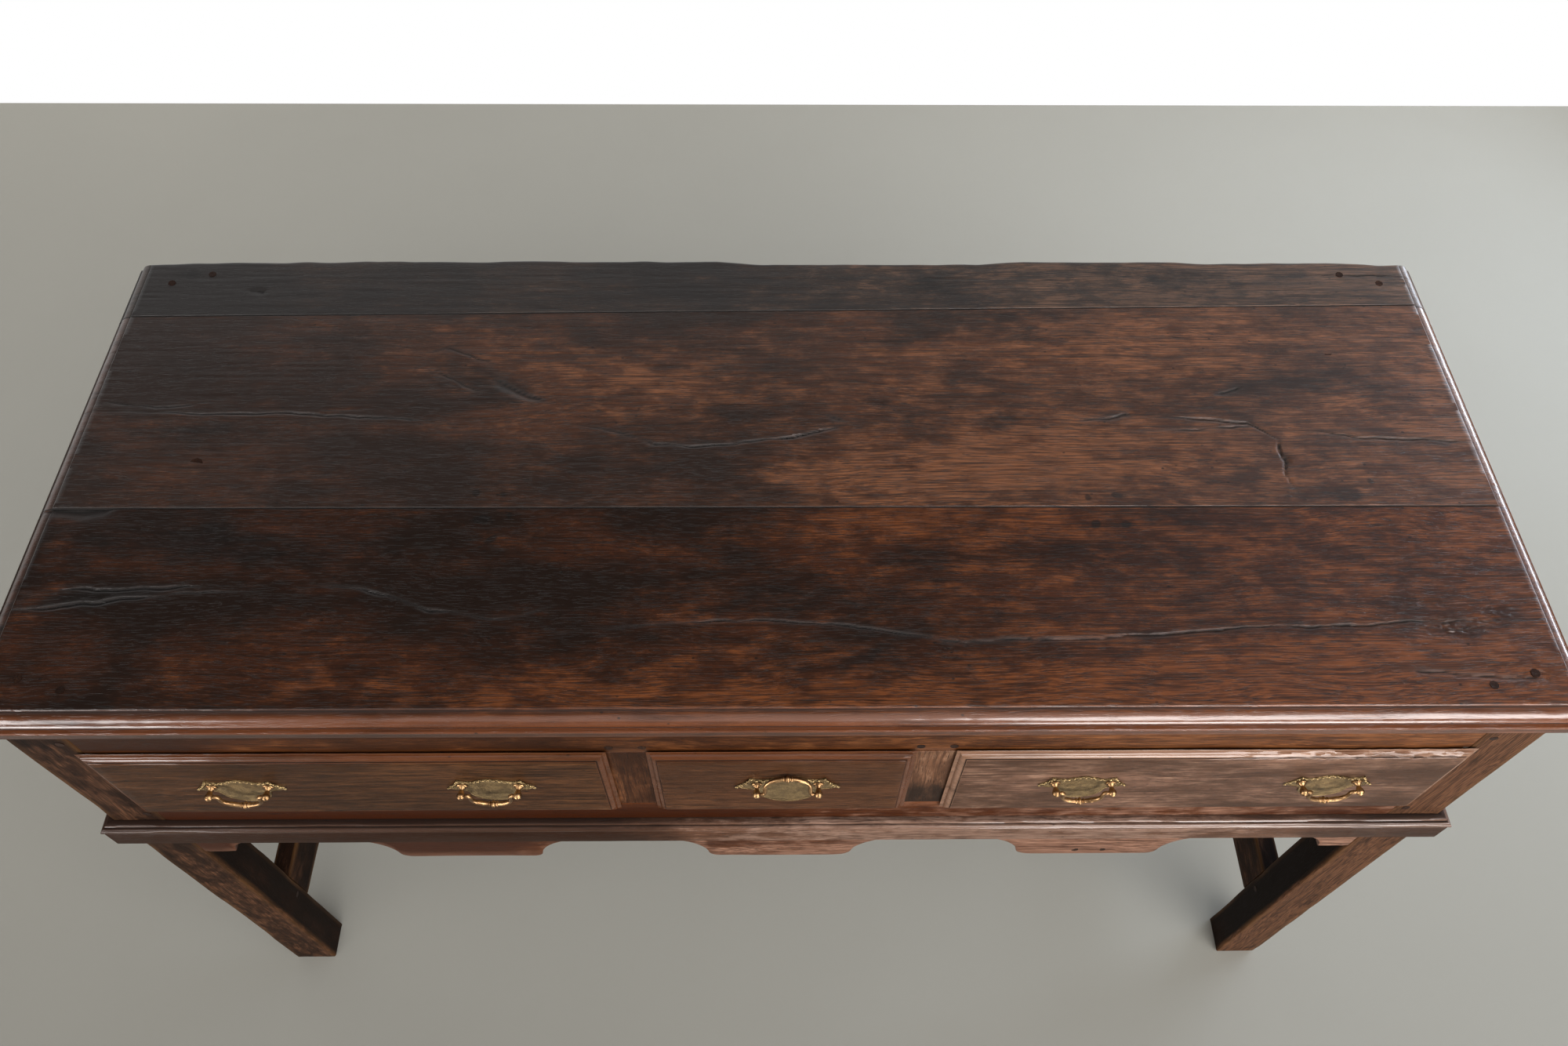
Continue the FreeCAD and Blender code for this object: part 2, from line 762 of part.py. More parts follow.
def turned(rings, centre, direction, count):
    """Turning with a few flats round it, from the radius of each ring and its distance along a direction."""
    discs = [flats(radius, centre + direction * along, direction, count) for radius, along in rings]
    loops = [[vertex.Point for vertex in disc.OuterWire.OrderedVertexes] for disc in discs]
    faces = [discs[0], discs[-1]]
    for low, high in zip(loops, loops[1:]):
        for index in range(count):
            corners = [low[index - 1], low[index], high[index], high[index - 1], low[index - 1]]
            faces.append(Part.Face(Part.makePolygon(corners)))
    return Part.makeSolid(Part.makeShell(faces))


def post(x, side):
    """Turned post: threaded shank, collar, waisted neck and a ball bored for the bail's pin."""
    ball_base = ball_standoff - math.sqrt(ball_radius ** 2 - neck_radius ** 2)
    collar_top = plate_thickness + collar_height
    tail = -(front_behind_frame + lip_proud) - shank_tail
    centre = V(x, face_y, handle_z)
    outward = V(0, -1, 0)
    rings = [
        (shank_radius, tail),
        (shank_radius, plate_thickness),
        (collar_radius, plate_thickness),
        (collar_radius, collar_top),
        (neck_radius, ball_base),
    ]
    lowest = math.degrees(math.asin((ball_base - ball_standoff) / ball_radius))
    for cut in range(1, ball_cuts + 1):
        angle = lowest + (ball_tip_angle - lowest) * cut / ball_cuts
        rings.append(on_circle((0, ball_standoff), ball_radius, angle))
    blank = turned(rings, centre, outward, post_flats)
    reach = bail_pin_reach + bail_pin_clearance
    socket_start = V(x + side * reach, pivot_y, handle_z)
    socket_radius = bail_pin_radius + bail_pin_clearance
    socket = Part.makeCylinder(socket_radius, reach + ball_radius, socket_start, V(-side, 0, 0))
    return blank.cut(socket)


def nut(x):
    """Square nut drawn up against the back of the drawer front."""
    half = nut_width / 2
    nut_back = front_inner + nut_thickness
    blank = box(x - half, x + half, front_inner, nut_back, handle_z - half, handle_z + half)
    return blank.cut(drilled(x, shank_radius + nut_clearance))


def plate(x, bore, width):
    """Bat-wing back plate: peaked crest, raised shoulders over the posts, pointed tips, rounded foot."""
    k = width / side_plate_width
    grow = lambda point: (point[0] * k, point[1] * k)
    peak = grow(plate_peak)
    right_half = [(grow(middle), grow(end)) for middle, end in plate_arcs]
    steps = list(right_half)
    ends = [peak] + [step[1] for step in right_half]
    for index in reversed(range(len(right_half))):
        middle = right_half[index][0]
        steps.append(((-middle[0], middle[1]), (-ends[index][0], ends[index][1])))
    place = lambda a, b: V(x + a, face_y - plate_thickness, handle_z + b)
    sheet = Part.Face(Part.Wire(path(place, peak, steps))).extrude(V(0, plate_thickness, 0))
    for offset in (-bore / 2, bore / 2):
        sheet = sheet.cut(drilled(x + offset, shank_radius + shank_clearance))
    return sheet


def bail(x, bore, drop, raised):
    """Hanging bail: pins into the balls, elbows, swelling arms and a turned knop in the middle."""
    pin_end = bore / 2 + bail_pin_reach
    start_x = bore / 2 - ball_radius - bail_ball_gap
    arm_x = start_x - bail_elbow_radius
    turn = bail_side_turn
    centre_x = arm_x - bail_side_radius
    # The bottom arc is tangent to both side arcs, so its centre lies on the middle line.
    bottom_radius = bail_side_radius + centre_x / math.cos(math.radians(turn))
    bottom_rise = (bottom_radius - bail_side_radius) * math.sin(math.radians(turn))
    arc_z = bottom_radius - bottom_rise - drop
    elbow = (start_x, -bail_elbow_radius)
    bottom_centre = (0, arc_z + bottom_rise)
    side_centre = (centre_x, arc_z)
    place = lambda a, b: V(x + a, pivot_y, handle_z + b)
    side_middle = on_circle(side_centre, bail_side_radius, -turn / 2)
    side_end = on_circle(side_centre, bail_side_radius, -turn)
    right = [
        (on_circle(elbow, bail_elbow_radius, 135), (arm_x, -bail_elbow_radius)),
        (arm_x, arc_z),
        (side_middle, side_end),
        (on_circle(bottom_centre, bottom_radius, -45 - turn / 2), (0, -drop)),
    ]
    pin = Part.makeCylinder(bail_pin_radius, pin_end - start_x, place(start_x, 0), V(1, 0, 0))
    half_bail = pin.fuse([rod(edge, bail_wire_radius) for edge in path(place, (start_x, 0), right)])
    other = half_bail.mirror(V(x, 0, 0), V(1, 0, 0))
    whole = half_bail.fuse([other, knop(place, drop)])
    if raised:
        whole = whole.rotate(place(0, 0), V(-1, 0, 0), 180 + bail_lean_back)
    return whole.removeSplitter()


def rod(edge, radius):
    """Wire along a straight line or an arc, its round section filed to a few flats."""
    start = edge.valueAt(edge.FirstParameter)
    along = edge.tangentAt(edge.FirstParameter)
    disc = flats(radius, start, along, bail_flats)
    if isinstance(edge.Curve, Part.Circle):
        turn = math.degrees(edge.LastParameter - edge.FirstParameter)
        return disc.revolve(edge.Curve.Center, edge.Curve.Axis, turn)
    return disc.extrude(edge.valueAt(edge.LastParameter) - start)


def knop(place, drop):
    """Turned swelling with a ring at each side, on the lowest part of the bail."""
    end = knop_length / 2
    ring = end / 3
    rings = [
        (knop_neck_radius, -end),
        (knop_radius, -end + ring / 2),
        (knop_neck_radius, -end + ring),
        (knop_radius, -ring),
        (knop_radius, ring),
        (knop_neck_radius, end - ring),
        (knop_radius, end - ring / 2),
        (knop_neck_radius, end),
    ]
    return turned(rings, place(0, -drop), V(1, 0, 0), bail_flats)


os.makedirs("parts", exist_ok=True)

add_frame_pegs()
add_top_pegs()
build_front()
build_ends_and_back()
build_stretchers()
build_legs()
build_top()
build_band()
build_runners()
save("frame_pegs", Part.makeCompound(pegs))
save("top_pegs", Part.makeCompound(top_pegs))

inner_open = muntin_centre - muntin_width / 2
outer_open = muntin_centre + muntin_width / 2
side_middle = (outer_open + leg_inner) / 2
for side, word in ((-1, "left"), (1, "right")):
    open_left, open_right = sorted((side * outer_open, side * leg_inner))
    middle = side * side_middle + handle_shift
    places = [middle - handle_spread, middle + handle_spread]
    build_drawer(word, open_left, open_right, places, (side_bore, side_plate_width, side_bail_drop))
middle_size = (middle_bore, middle_plate_width, middle_bail_drop)
build_drawer("middle", -inner_open, inner_open, [handle_shift], middle_size)
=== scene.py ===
import json
import logging
import math
from dataclasses import dataclass, replace
from enum import Enum
from typing import Callable, Iterable, Sequence

import bmesh
import bpy
import numpy as np
from mathutils import Matrix, Vector
from numpy.polynomial.polynomial import polyval


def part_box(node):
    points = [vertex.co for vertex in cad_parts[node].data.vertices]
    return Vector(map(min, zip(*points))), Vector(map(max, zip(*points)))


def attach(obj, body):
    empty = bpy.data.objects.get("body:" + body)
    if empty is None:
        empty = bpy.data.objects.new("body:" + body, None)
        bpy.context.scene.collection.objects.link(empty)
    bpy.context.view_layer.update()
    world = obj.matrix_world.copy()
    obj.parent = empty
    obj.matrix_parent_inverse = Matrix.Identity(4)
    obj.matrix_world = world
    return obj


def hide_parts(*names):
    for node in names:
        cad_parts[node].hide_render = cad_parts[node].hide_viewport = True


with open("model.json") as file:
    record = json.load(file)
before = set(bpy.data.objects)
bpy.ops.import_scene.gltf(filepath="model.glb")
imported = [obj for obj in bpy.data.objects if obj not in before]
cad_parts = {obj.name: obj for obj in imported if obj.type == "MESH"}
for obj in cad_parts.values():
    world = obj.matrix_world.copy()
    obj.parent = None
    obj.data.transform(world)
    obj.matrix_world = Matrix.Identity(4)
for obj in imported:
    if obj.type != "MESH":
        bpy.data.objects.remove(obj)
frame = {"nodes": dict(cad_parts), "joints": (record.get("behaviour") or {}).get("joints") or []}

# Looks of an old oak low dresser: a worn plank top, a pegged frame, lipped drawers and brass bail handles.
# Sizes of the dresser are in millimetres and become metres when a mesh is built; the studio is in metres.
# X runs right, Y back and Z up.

LOG = logging.getLogger("dresser")
MM = 0.001
WELD = 1e-6
SHARP_ANGLE = math.radians(38.0)
LATTICE = 97
SAMPLES_PER_MM = 4
HALF_FRONT = 680.0
# The tone mark carries painted light and shade as well as the wood's own lighter and darker parts; the crack
# and stain marks also carry some painted shade.
MARKS = ("wear", "crack", "stain", "tone")

Colour = tuple[float, float, float]
Place = tuple[float, float, float]
Point = tuple[float, float]
Inputs = dict[str | int, object]


class Grain(Enum):
    """Axis that the grain of a timber follows."""

    ALONG_X = 0
    ALONG_Y = 1
    ALONG_Z = 2


class BoardEdge(Enum):
    """How one long edge of a top board is worked."""

    MOULDED = "moulded"
    JOINT = "joint"
    RAGGED = "ragged"


class LampUse(Enum):
    """What a studio light does: lights and shows in gloss, only lights, or only shows in gloss."""

    LAMP = "lamp"
    FILL = "fill"
    CARD = "card"


def lattice_noise(x: np.ndarray, y: np.ndarray, seed: int) -> np.ndarray:
    """Smooth random values between -1 and 1 that change over one unit.

    Args:
        x: First coordinate of each point, in cells.
        y: Second coordinate, of the same shape.
        seed: Chooses the pattern.

    Returns:
        One value for each point.
    """
    table = np.random.default_rng(seed).uniform(-1.0, 1.0, (LATTICE, LATTICE))
    x, y = np.broadcast_arrays(np.asarray(x, float), np.asarray(y, float))
    i = np.floor(x).astype(int)
    j = np.floor(y).astype(int)
    s = x - i
    t = y - j
    s = s * s * (3 - 2 * s)
    t = t * t * (3 - 2 * t)
    i0, i1, j0, j1 = i % LATTICE, (i + 1) % LATTICE, j % LATTICE, (j + 1) % LATTICE
    low = table[i0, j0] * (1 - s) + table[i1, j0] * s
    high = table[i0, j1] * (1 - s) + table[i1, j1] * s
    return low * (1 - t) + high * t


def arc_through(a: Point, middle: Point, b: Point, count: int) -> list[Point]:
    """Points of the arc from a through middle to b, without a itself.

    Args:
        a: Start of the arc.
        middle: A point on the arc.
        b: End of the arc.
        count: Number of points.

    Returns:
        The points in order, ending at b.
    """
    pa, pm, pb = (complex(*p) for p in (a, middle, b))
    w = (pb - pa) / (pm - pa)
    centre = pa + (pm - pa) * (w - abs(w) ** 2) / (w - w.conjugate())
    start = math.atan2((pa - centre).imag, (pa - centre).real)
    turns = [math.atan2((p - centre).imag, (p - centre).real) - start for p in (pm, pb)]
    to_middle, to_end = (t % (2 * math.pi) for t in turns)
    if to_middle > to_end:
        to_end -= 2 * math.pi
    radius = abs(pa - centre)
    angles = [start + to_end * k / count for k in range(1, count + 1)]
    return [(centre.real + radius * math.cos(t), centre.imag + radius * math.sin(t)) for t in angles]


def box_mm(node: str) -> tuple[np.ndarray, np.ndarray]:
    """Lowest and highest corner of a CAD node, in millimetres."""
    lo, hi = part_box(node)
    return np.array(lo) / MM, np.array(hi) / MM


def spaced(lo: float, hi: float, coarse: float, fine: float, busy: Iterable[Point]) -> np.ndarray:
    """Shares from 0 to 1 along a length, close together where there is detail.

    Args:
        lo: Start of the length.
        hi: End of the length.
        coarse: Step in plain stretches.
        fine: Step in busy stretches.
        busy: Start and end of each busy stretch.

    Returns:
        The shares in order.
    """
    places = np.linspace(lo, hi, round((hi - lo) * SAMPLES_PER_MM) + 1)
    step = np.full(places.shape, coarse)
    for start, end in busy:
        step[(places > start) & (places < end)] = fine
    run = np.concatenate([[0.0], np.cumsum(np.diff(places) / step[:-1])])
    wanted = np.linspace(0.0, run[-1], max(2, round(run[-1])) + 1)
    return (np.interp(wanted, run, places) - lo) / (hi - lo)


def loop_round(x: np.ndarray, near: np.ndarray, far: np.ndarray, t: np.ndarray) -> np.ndarray:
    """Closed loop along a near edge, up the right end, back along a far edge and down the left end.

    Args:
        x: Places along both edges, from left to right.
        near: Second coordinate of the near edge at each of them.
        far: Second coordinate of the far edge.
        t: Shares from near to far on both ends.

    Returns:
        Points of the loop, each corner once.
    """
    right = np.stack([np.full(len(t), x[-1]), near[-1] + (far[-1] - near[-1]) * t], axis=1)
    left = np.stack([np.full(len(t), x[0]), near[0] + (far[0] - near[0]) * t[::-1]], axis=1)
    sides = (np.stack([x, near], axis=1), right, np.stack([x, far], axis=1)[::-1], left)
    return np.concatenate([side[:-1] for side in sides])


def rim(index: np.ndarray) -> np.ndarray:
    """Indices round the border of a grid, in the order of a loop round it."""
    return np.concatenate([index[0, :-1], index[:-1, -1], index[-1, :0:-1], index[:0:-1, 0]])


class Shell:
    """Points, faces and marks of one piece in the making."""

    def __init__(self) -> None:
        """Start with nothing."""
        self.points: list[np.ndarray] = []
        self.faces: list[tuple[int, ...]] = []
        self.marks: dict[str, list[np.ndarray]] = {mark: [] for mark in MARKS}
        self.count = 0

    def add(self, points: np.ndarray, **marks: np.ndarray) -> np.ndarray:
        """Append points with their marks.

        Args:
            points: Places in millimetres, any shape that ends in three.
            marks: Values from 0 to 1 for some of the named marks.

        Returns:
            The new indices, in the shape of the points.
        """
        flat = np.asarray(points, float).reshape(-1, 3)
        shape = np.shape(points)[:-1]
        for mark in MARKS:
            values = np.broadcast_to(np.asarray(marks.get(mark, 0.0), float), shape)
            self.marks[mark].append(values.reshape(-1))
        self.points.append(flat)
        first = self.count
        self.count += len(flat)
        return np.arange(first, self.count).reshape(shape)

    def quads(self, index: np.ndarray, closed: bool = False) -> None:
        """Cover a grid of indices with quads; closed joins its last column to its first."""
        rows = np.concatenate([index, index[:, :1]], axis=1) if closed else index
        corners = np.stack([rows[:-1, :-1], rows[:-1, 1:], rows[1:, 1:], rows[1:, :-1]], axis=-1)
        self.faces.extend(map(tuple, corners.reshape(-1, 4).tolist()))

    def loft(self, rings: np.ndarray, caps: bool = True, **marks: np.ndarray) -> None:
        """Skin a row of closed rings, and close both ends where there are caps."""
        index = self.add(rings, **marks)
        self.quads(index, closed=True)
        if caps:
            self.faces.append(tuple(index[0].tolist()))
            self.faces.append(tuple(index[-1].tolist()))

    def block(self, x0: float, x1: float, *ends: Place) -> None:
        """Closed block between two X, from the Y, lowest Z and highest Z of its front and of its back."""
        rings = [[(x0, y, low), (x1, y, low), (x1, y, high), (x0, y, high)] for y, low, high in ends]
        self.loft(np.array(rings))

    def build(self, name: str, material: bpy.types.Material) -> bpy.types.Object:
        """Turn the shell into an object at the origin, with its place in its mesh."""
        mesh = bpy.data.meshes.new(name)
        mesh.from_pydata((np.concatenate(self.points) * MM).tolist(), [], self.faces)
        for mark, parts in self.marks.items():
            layer = mesh.attributes.new(mark, "FLOAT", "POINT")
            layer.data.foreach_set("value", np.concatenate(parts))
        work = bmesh.new()
        work.from_mesh(mesh)
        bmesh.ops.remove_doubles(work, verts=work.verts, dist=WELD)
        bmesh.ops.recalc_face_normals(work, faces=work.faces)
        work.to_mesh(mesh)
        work.free()
        return place_mesh(mesh, name, material)


def linked(name: str, data: bpy.types.ID) -> bpy.types.Object:
    """New object in the scene that holds a mesh, curve, light or camera."""
    made = bpy.data.objects.new(name, data)
    bpy.context.scene.collection.objects.link(made)
    return made


def refinish(node: str, material: bpy.types.Material) -> None:
    """Give a CAD node that stays visible its finish."""
    materials = frame["nodes"][node].data.materials
    materials.clear()
    materials.append(material)


def place_mesh(mesh: bpy.types.Mesh, name: str, material: bpy.types.Material) -> bpy.types.Object:
    """Shade a mesh, give it its finish and put it in the scene as an object of that name."""
    mesh.shade_smooth()
    mesh.set_sharp_from_angle(angle=SHARP_ANGLE)
    if not mesh.materials:
        mesh.materials.append(material)
    return linked(name, mesh)


def settle(piece: bpy.types.Object, body: str, slot: str, *nodes: str) -> bpy.types.Object:
    """Tie a piece to its body, and hide the CAD nodes that it stands for.

    Args:
        piece: Finished object.
        body: Name of the CAD body that it rides on.
        slot: Not used.
        nodes: CAD nodes that it replaces.

    Returns:
        The piece.
    """
    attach(piece, body)
    if nodes:
        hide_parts(*nodes)
    LOG.info("%s rides on %s, %d faces", piece.name, body, len(piece.data.polygons))
    return piece


class NodeSheet:
    """Short ways to add and join nodes in one tree."""

    def __init__(self, tree: bpy.types.NodeTree) -> None:
        """Keep the tree that is written on."""
        self.tree = tree

    def add(self, kind: str, inputs: Inputs | None = None, **settings: object) -> bpy.types.Node:
        """New node of a kind with some of its settings, and with some inputs linked or set."""
        made = self.tree.nodes.new(kind)
        for name, value in settings.items():
            setattr(made, name, value)
        for socket, value in (inputs or {}).items():
            self.feed(made.inputs[socket], value)
        return made

    def feed(self, socket: bpy.types.NodeSocket, value: object) -> None:
        """Link a socket or set its constant."""
        if isinstance(value, bpy.types.NodeSocket):
            self.tree.links.new(value, socket)
        elif isinstance(value, tuple) and socket.type == "RGBA" and len(value) == 3:
            socket.default_value = (*value, 1.0)
        else:
            socket.default_value = value

    def math(self, operation: str, a: object, b: object = 0.0, clamp: bool = False) -> bpy.types.NodeSocket:
        """Result of one arithmetic node."""
        return self.add("ShaderNodeMath", {0: a, 1: b}, operation=operation, use_clamp=clamp).outputs[0]

    def plus(self, a: object, b: object, share: float) -> bpy.types.NodeSocket:
        """Sum of a and a share of b."""
        return self.math("ADD", a, self.math("MULTIPLY", b, share))

    def mix(self, factor: object, a: object, b: object) -> bpy.types.NodeSocket:
        """Colour between a and b."""
        inputs = {0: factor, 6: a, 7: b}
        return self.add("ShaderNodeMix", inputs, data_type="RGBA", clamp_factor=True).outputs[2]

    def stretch(self, vector: object, scale: Place) -> bpy.types.NodeSocket:
        """Vector multiplied along each axis."""
        return self.add("ShaderNodeVectorMath", {0: vector, 1: scale}, operation="MULTIPLY").outputs[0]

    def shift(self, vector: object, offset: object) -> bpy.types.NodeSocket:
        """Sum of two vectors."""
        return self.add("ShaderNodeVectorMath", {0: vector, 1: offset}, operation="ADD").outputs[0]

    def window(self, value: object, low: float, high: float) -> bpy.types.NodeSocket:
        """Value spread so that low becomes 0 and high becomes 1, held between them."""
        inputs = {"Value": value, "From Min": low, "From Max": high}
        return self.add("ShaderNodeMapRange", inputs, interpolation_type="SMOOTHSTEP").outputs["Result"]

    def mark(self, name: str) -> bpy.types.NodeSocket:
        """One of the marks that a piece carries on its points."""
        return self.add("ShaderNodeAttribute", attribute_name=name).outputs["Fac"]

    def group(self, group: bpy.types.NodeTree, **values: object) -> bpy.types.Node:
        """Place a node group and feed its inputs."""
        return self.add("ShaderNodeGroup", values, node_tree=group)


class GroupSheet(NodeSheet):
    """Node group with named inputs and outputs."""

    def __init__(self, name: str, inputs: dict[str, str], outputs: dict[str, str],
                 kind: str = "ShaderNodeTree") -> None:
        """Make the empty group.

        Args:
            name: Name of the group.
            inputs: Socket type of each input.
            outputs: Socket type of each output.
            kind: Type of node tree.
        """
        tree = bpy.data.node_groups.new(name, kind)
        for way, sockets in (("INPUT", inputs), ("OUTPUT", outputs)):
            for label, socket in sockets.items():
                tree.interface.new_socket(label, in_out=way, socket_type=socket)
        super().__init__(tree)
        self.source = self.add("NodeGroupInput")
        self.sink = self.add("NodeGroupOutput")

    def given(self, name: str) -> bpy.types.NodeSocket:
        """Input of the group by name."""
        return self.source.outputs[name]

    def give(self, name: str, value: object) -> None:
        """Send a value to an output of the group."""
        self.feed(self.sink.inputs[name], value)


class MaterialSheet(NodeSheet):
    """New material and its main shader."""

    def __init__(self, name: str) -> None:
        """Make the material."""
        self.material = bpy.data.materials.new(name)
        self.material.use_nodes = True
        super().__init__(self.material.node_tree)
        self.shader = self.tree.nodes["Principled BSDF"]

    def dress(self, **values: object) -> None:
        """Link or set inputs of the main shader, underscores standing for spaces."""
        for name, value in values.items():
            self.feed(self.shader.inputs[name.replace("_", " ")], value)

    def bump(self, height: object, strength: float, distance: float, **settings: object) -> None:
        """Let a height show in the light on the surface, with the distance in metres."""
        inputs = {"Height": height, "Strength": strength, "Distance": distance}
        self.dress(Normal=self.add("ShaderNodeBump", inputs, **settings).outputs["Normal"])

    def joined(self, factor: bpy.types.NodeSocket, a: bpy.types.NodeSocket,
               b: bpy.types.NodeSocket) -> bpy.types.NodeSocket:
        """Shader between two others."""
        return self.add("ShaderNodeMixShader", {0: factor, 1: a, 2: b}).outputs["Shader"]


@dataclass(frozen=True)
class Weave:
    """Fractal noise by its cells to a metre, along X and across it, and its fineness."""

    along: float
    across: float
    detail: float = 2.0
    roughness: float = 0.55

    def drawn(self, sheet: NodeSheet, place: bpy.types.NodeSocket) -> bpy.types.NodeSocket:
        """Value of the noise at each place."""
        scaled = sheet.stretch(place, (self.along, self.across, self.across))
        inputs = {"Vector": scaled, "Scale": 1.0, "Detail": self.detail, "Roughness": self.roughness}
        return sheet.add("ShaderNodeTexNoise", inputs).outputs["Fac"]


FLOAT = "NodeSocketFloat"
VECTOR = "NodeSocketVector"
COLOUR = "NodeSocketColor"
GEOMETRY = "NodeSocketGeometry"
FINISH = "NodeSocketMaterial"

BENDS = Weave(3.0, 9.0)
BROAD_STREAKS = Weave(3.5, 230.0, 5.0, 0.68)
FINE_STREAKS = Weave(16.0, 620.0, 3.0, 0.65)
FIBRES = Weave(30.0, 900.0, 2.0, 0.6)
PORES = Weave(60.0, 1100.0, 2.0, 0.5)
RAYS = Weave(130.0, 330.0, 2.0, 0.5)
MOTTLING = Weave(5.5, 13.0, 6.0, 0.66)
BLOTCHES = Weave(30.0, 62.0, 5.0, 0.66)
RAGGED_STAINS = Weave(38.0, 80.0, 5.0, 0.65)
SPECKLED_AREAS = Weave(14.0, 14.0)
RUBBED_AREAS = Weave(7.0, 90.0, 4.0, 0.6)
PATINA = Weave(170.0, 170.0, 5.0, 0.6)
SWIRLS = Weave(420.0, 420.0, 2.0, 0.5)
CLOUDS = Weave(1.3, 1.3, 4.0)
SPECK_CELLS = (62.0, 85.0, 85.0)
BEND_REACH = 0.035


def oak_figure_group() -> bpy.types.NodeTree:
    """Grain of oak that runs along X: streaks, pores, ray flecks and broad mottling."""
    outputs = ("Figure", "Fibre", "Pores", "Rays", "Mottle", "Blotch")
    sheet = GroupSheet("oak_figure", {"Vector": VECTOR}, dict.fromkeys(outputs, FLOAT))
    place = sheet.given("Vector")
    swing = sheet.math("MULTIPLY", sheet.math("SUBTRACT", BENDS.drawn(sheet, place), 0.5), BEND_REACH)
    bent = sheet.shift(place, sheet.add("ShaderNodeCombineXYZ", {"Y": swing, "Z": swing}).outputs[0])
    broad = sheet.math("MULTIPLY", BROAD_STREAKS.drawn(sheet, bent), 0.55)
    sheet.give("Figure", sheet.plus(broad, FINE_STREAKS.drawn(sheet, bent), 0.45))
    sheet.give("Fibre", FIBRES.drawn(sheet, bent))
    sheet.give("Pores", sheet.window(PORES.drawn(sheet, bent), 0.56, 0.68))
    sheet.give("Rays", sheet.window(RAYS.drawn(sheet, bent), 0.58, 0.72))
    sheet.give("Mottle", MOTTLING.drawn(sheet, place))
    sheet.give("Blotch", BLOTCHES.drawn(sheet, place))
    return sheet.tree


def grime_group() -> bpy.types.NodeTree:
    """Old dirt: black in cracks and stains, and specks where worm and ink have been; where the crack and
    stain marks carry painted shade, the dirt colour paints that shade too.
    """
    sheet = GroupSheet(
        "old_grime",
        {"Vector": VECTOR, "Colour": COLOUR, "Dirt": COLOUR, "Stains": FLOAT, "Specks": FLOAT},
        {"Colour": COLOUR, "Dirty": FLOAT},
    )
    place = sheet.given("Vector")
    uneven = sheet.math("SUBTRACT", RAGGED_STAINS.drawn(sheet, place), 0.5)
    stain = sheet.window(sheet.plus(sheet.mark("stain"), uneven, 0.9), 0.25, 0.75)
    stain = sheet.math("MULTIPLY", stain, sheet.given("Stains"))
    grid = sheet.stretch(place, SPECK_CELLS)
    cells = sheet.add("ShaderNodeTexVoronoi", {"Vector": grid, "Scale": 1.0}, feature="F1")
    few = sheet.window(SPECKLED_AREAS.drawn(sheet, place), 0.42, 0.58)
    dots = sheet.math("SUBTRACT", 1.0, sheet.window(cells.outputs["Distance"], 0.05, 0.13))
    specks = sheet.math("MULTIPLY", sheet.math("MULTIPLY", dots, few), sheet.given("Specks"))
    dirty = sheet.math("MAXIMUM", sheet.math("MAXIMUM", stain, specks), sheet.mark("crack"))
    sheet.give("Colour", sheet.mix(dirty, sheet.given("Colour"), sheet.given("Dirt")))
    sheet.give("Dirty", dirty)
    return sheet.tree


def edge_wear_group() -> bpy.types.NodeTree:
    """Rubbed arrises: the worn colour where a piece is marked as worn, broken up by noise."""
    sheet = GroupSheet(
        "edge_wear",
        {"Vector": VECTOR, "Colour": COLOUR, "Worn": COLOUR, "Amount": FLOAT},
        {"Colour": COLOUR, "Worn": FLOAT},
    )
    patchy = sheet.window(RUBBED_AREAS.drawn(sheet, sheet.given("Vector")), 0.22, 0.56)
    rubbed = sheet.math("MULTIPLY", sheet.mark("wear"), patchy)
    rubbed = sheet.math("MULTIPLY", rubbed, sheet.given("Amount"))
    sheet.give("Colour", sheet.mix(rubbed, sheet.given("Colour"), sheet.given("Worn")))
    sheet.give("Worn", rubbed)
    return sheet.tree


@dataclass(frozen=True)
class Workshop:
    """Node groups that the finishes share."""

    figure: bpy.types.NodeTree
    grime: bpy.types.NodeTree
    wear: bpy.types.NodeTree


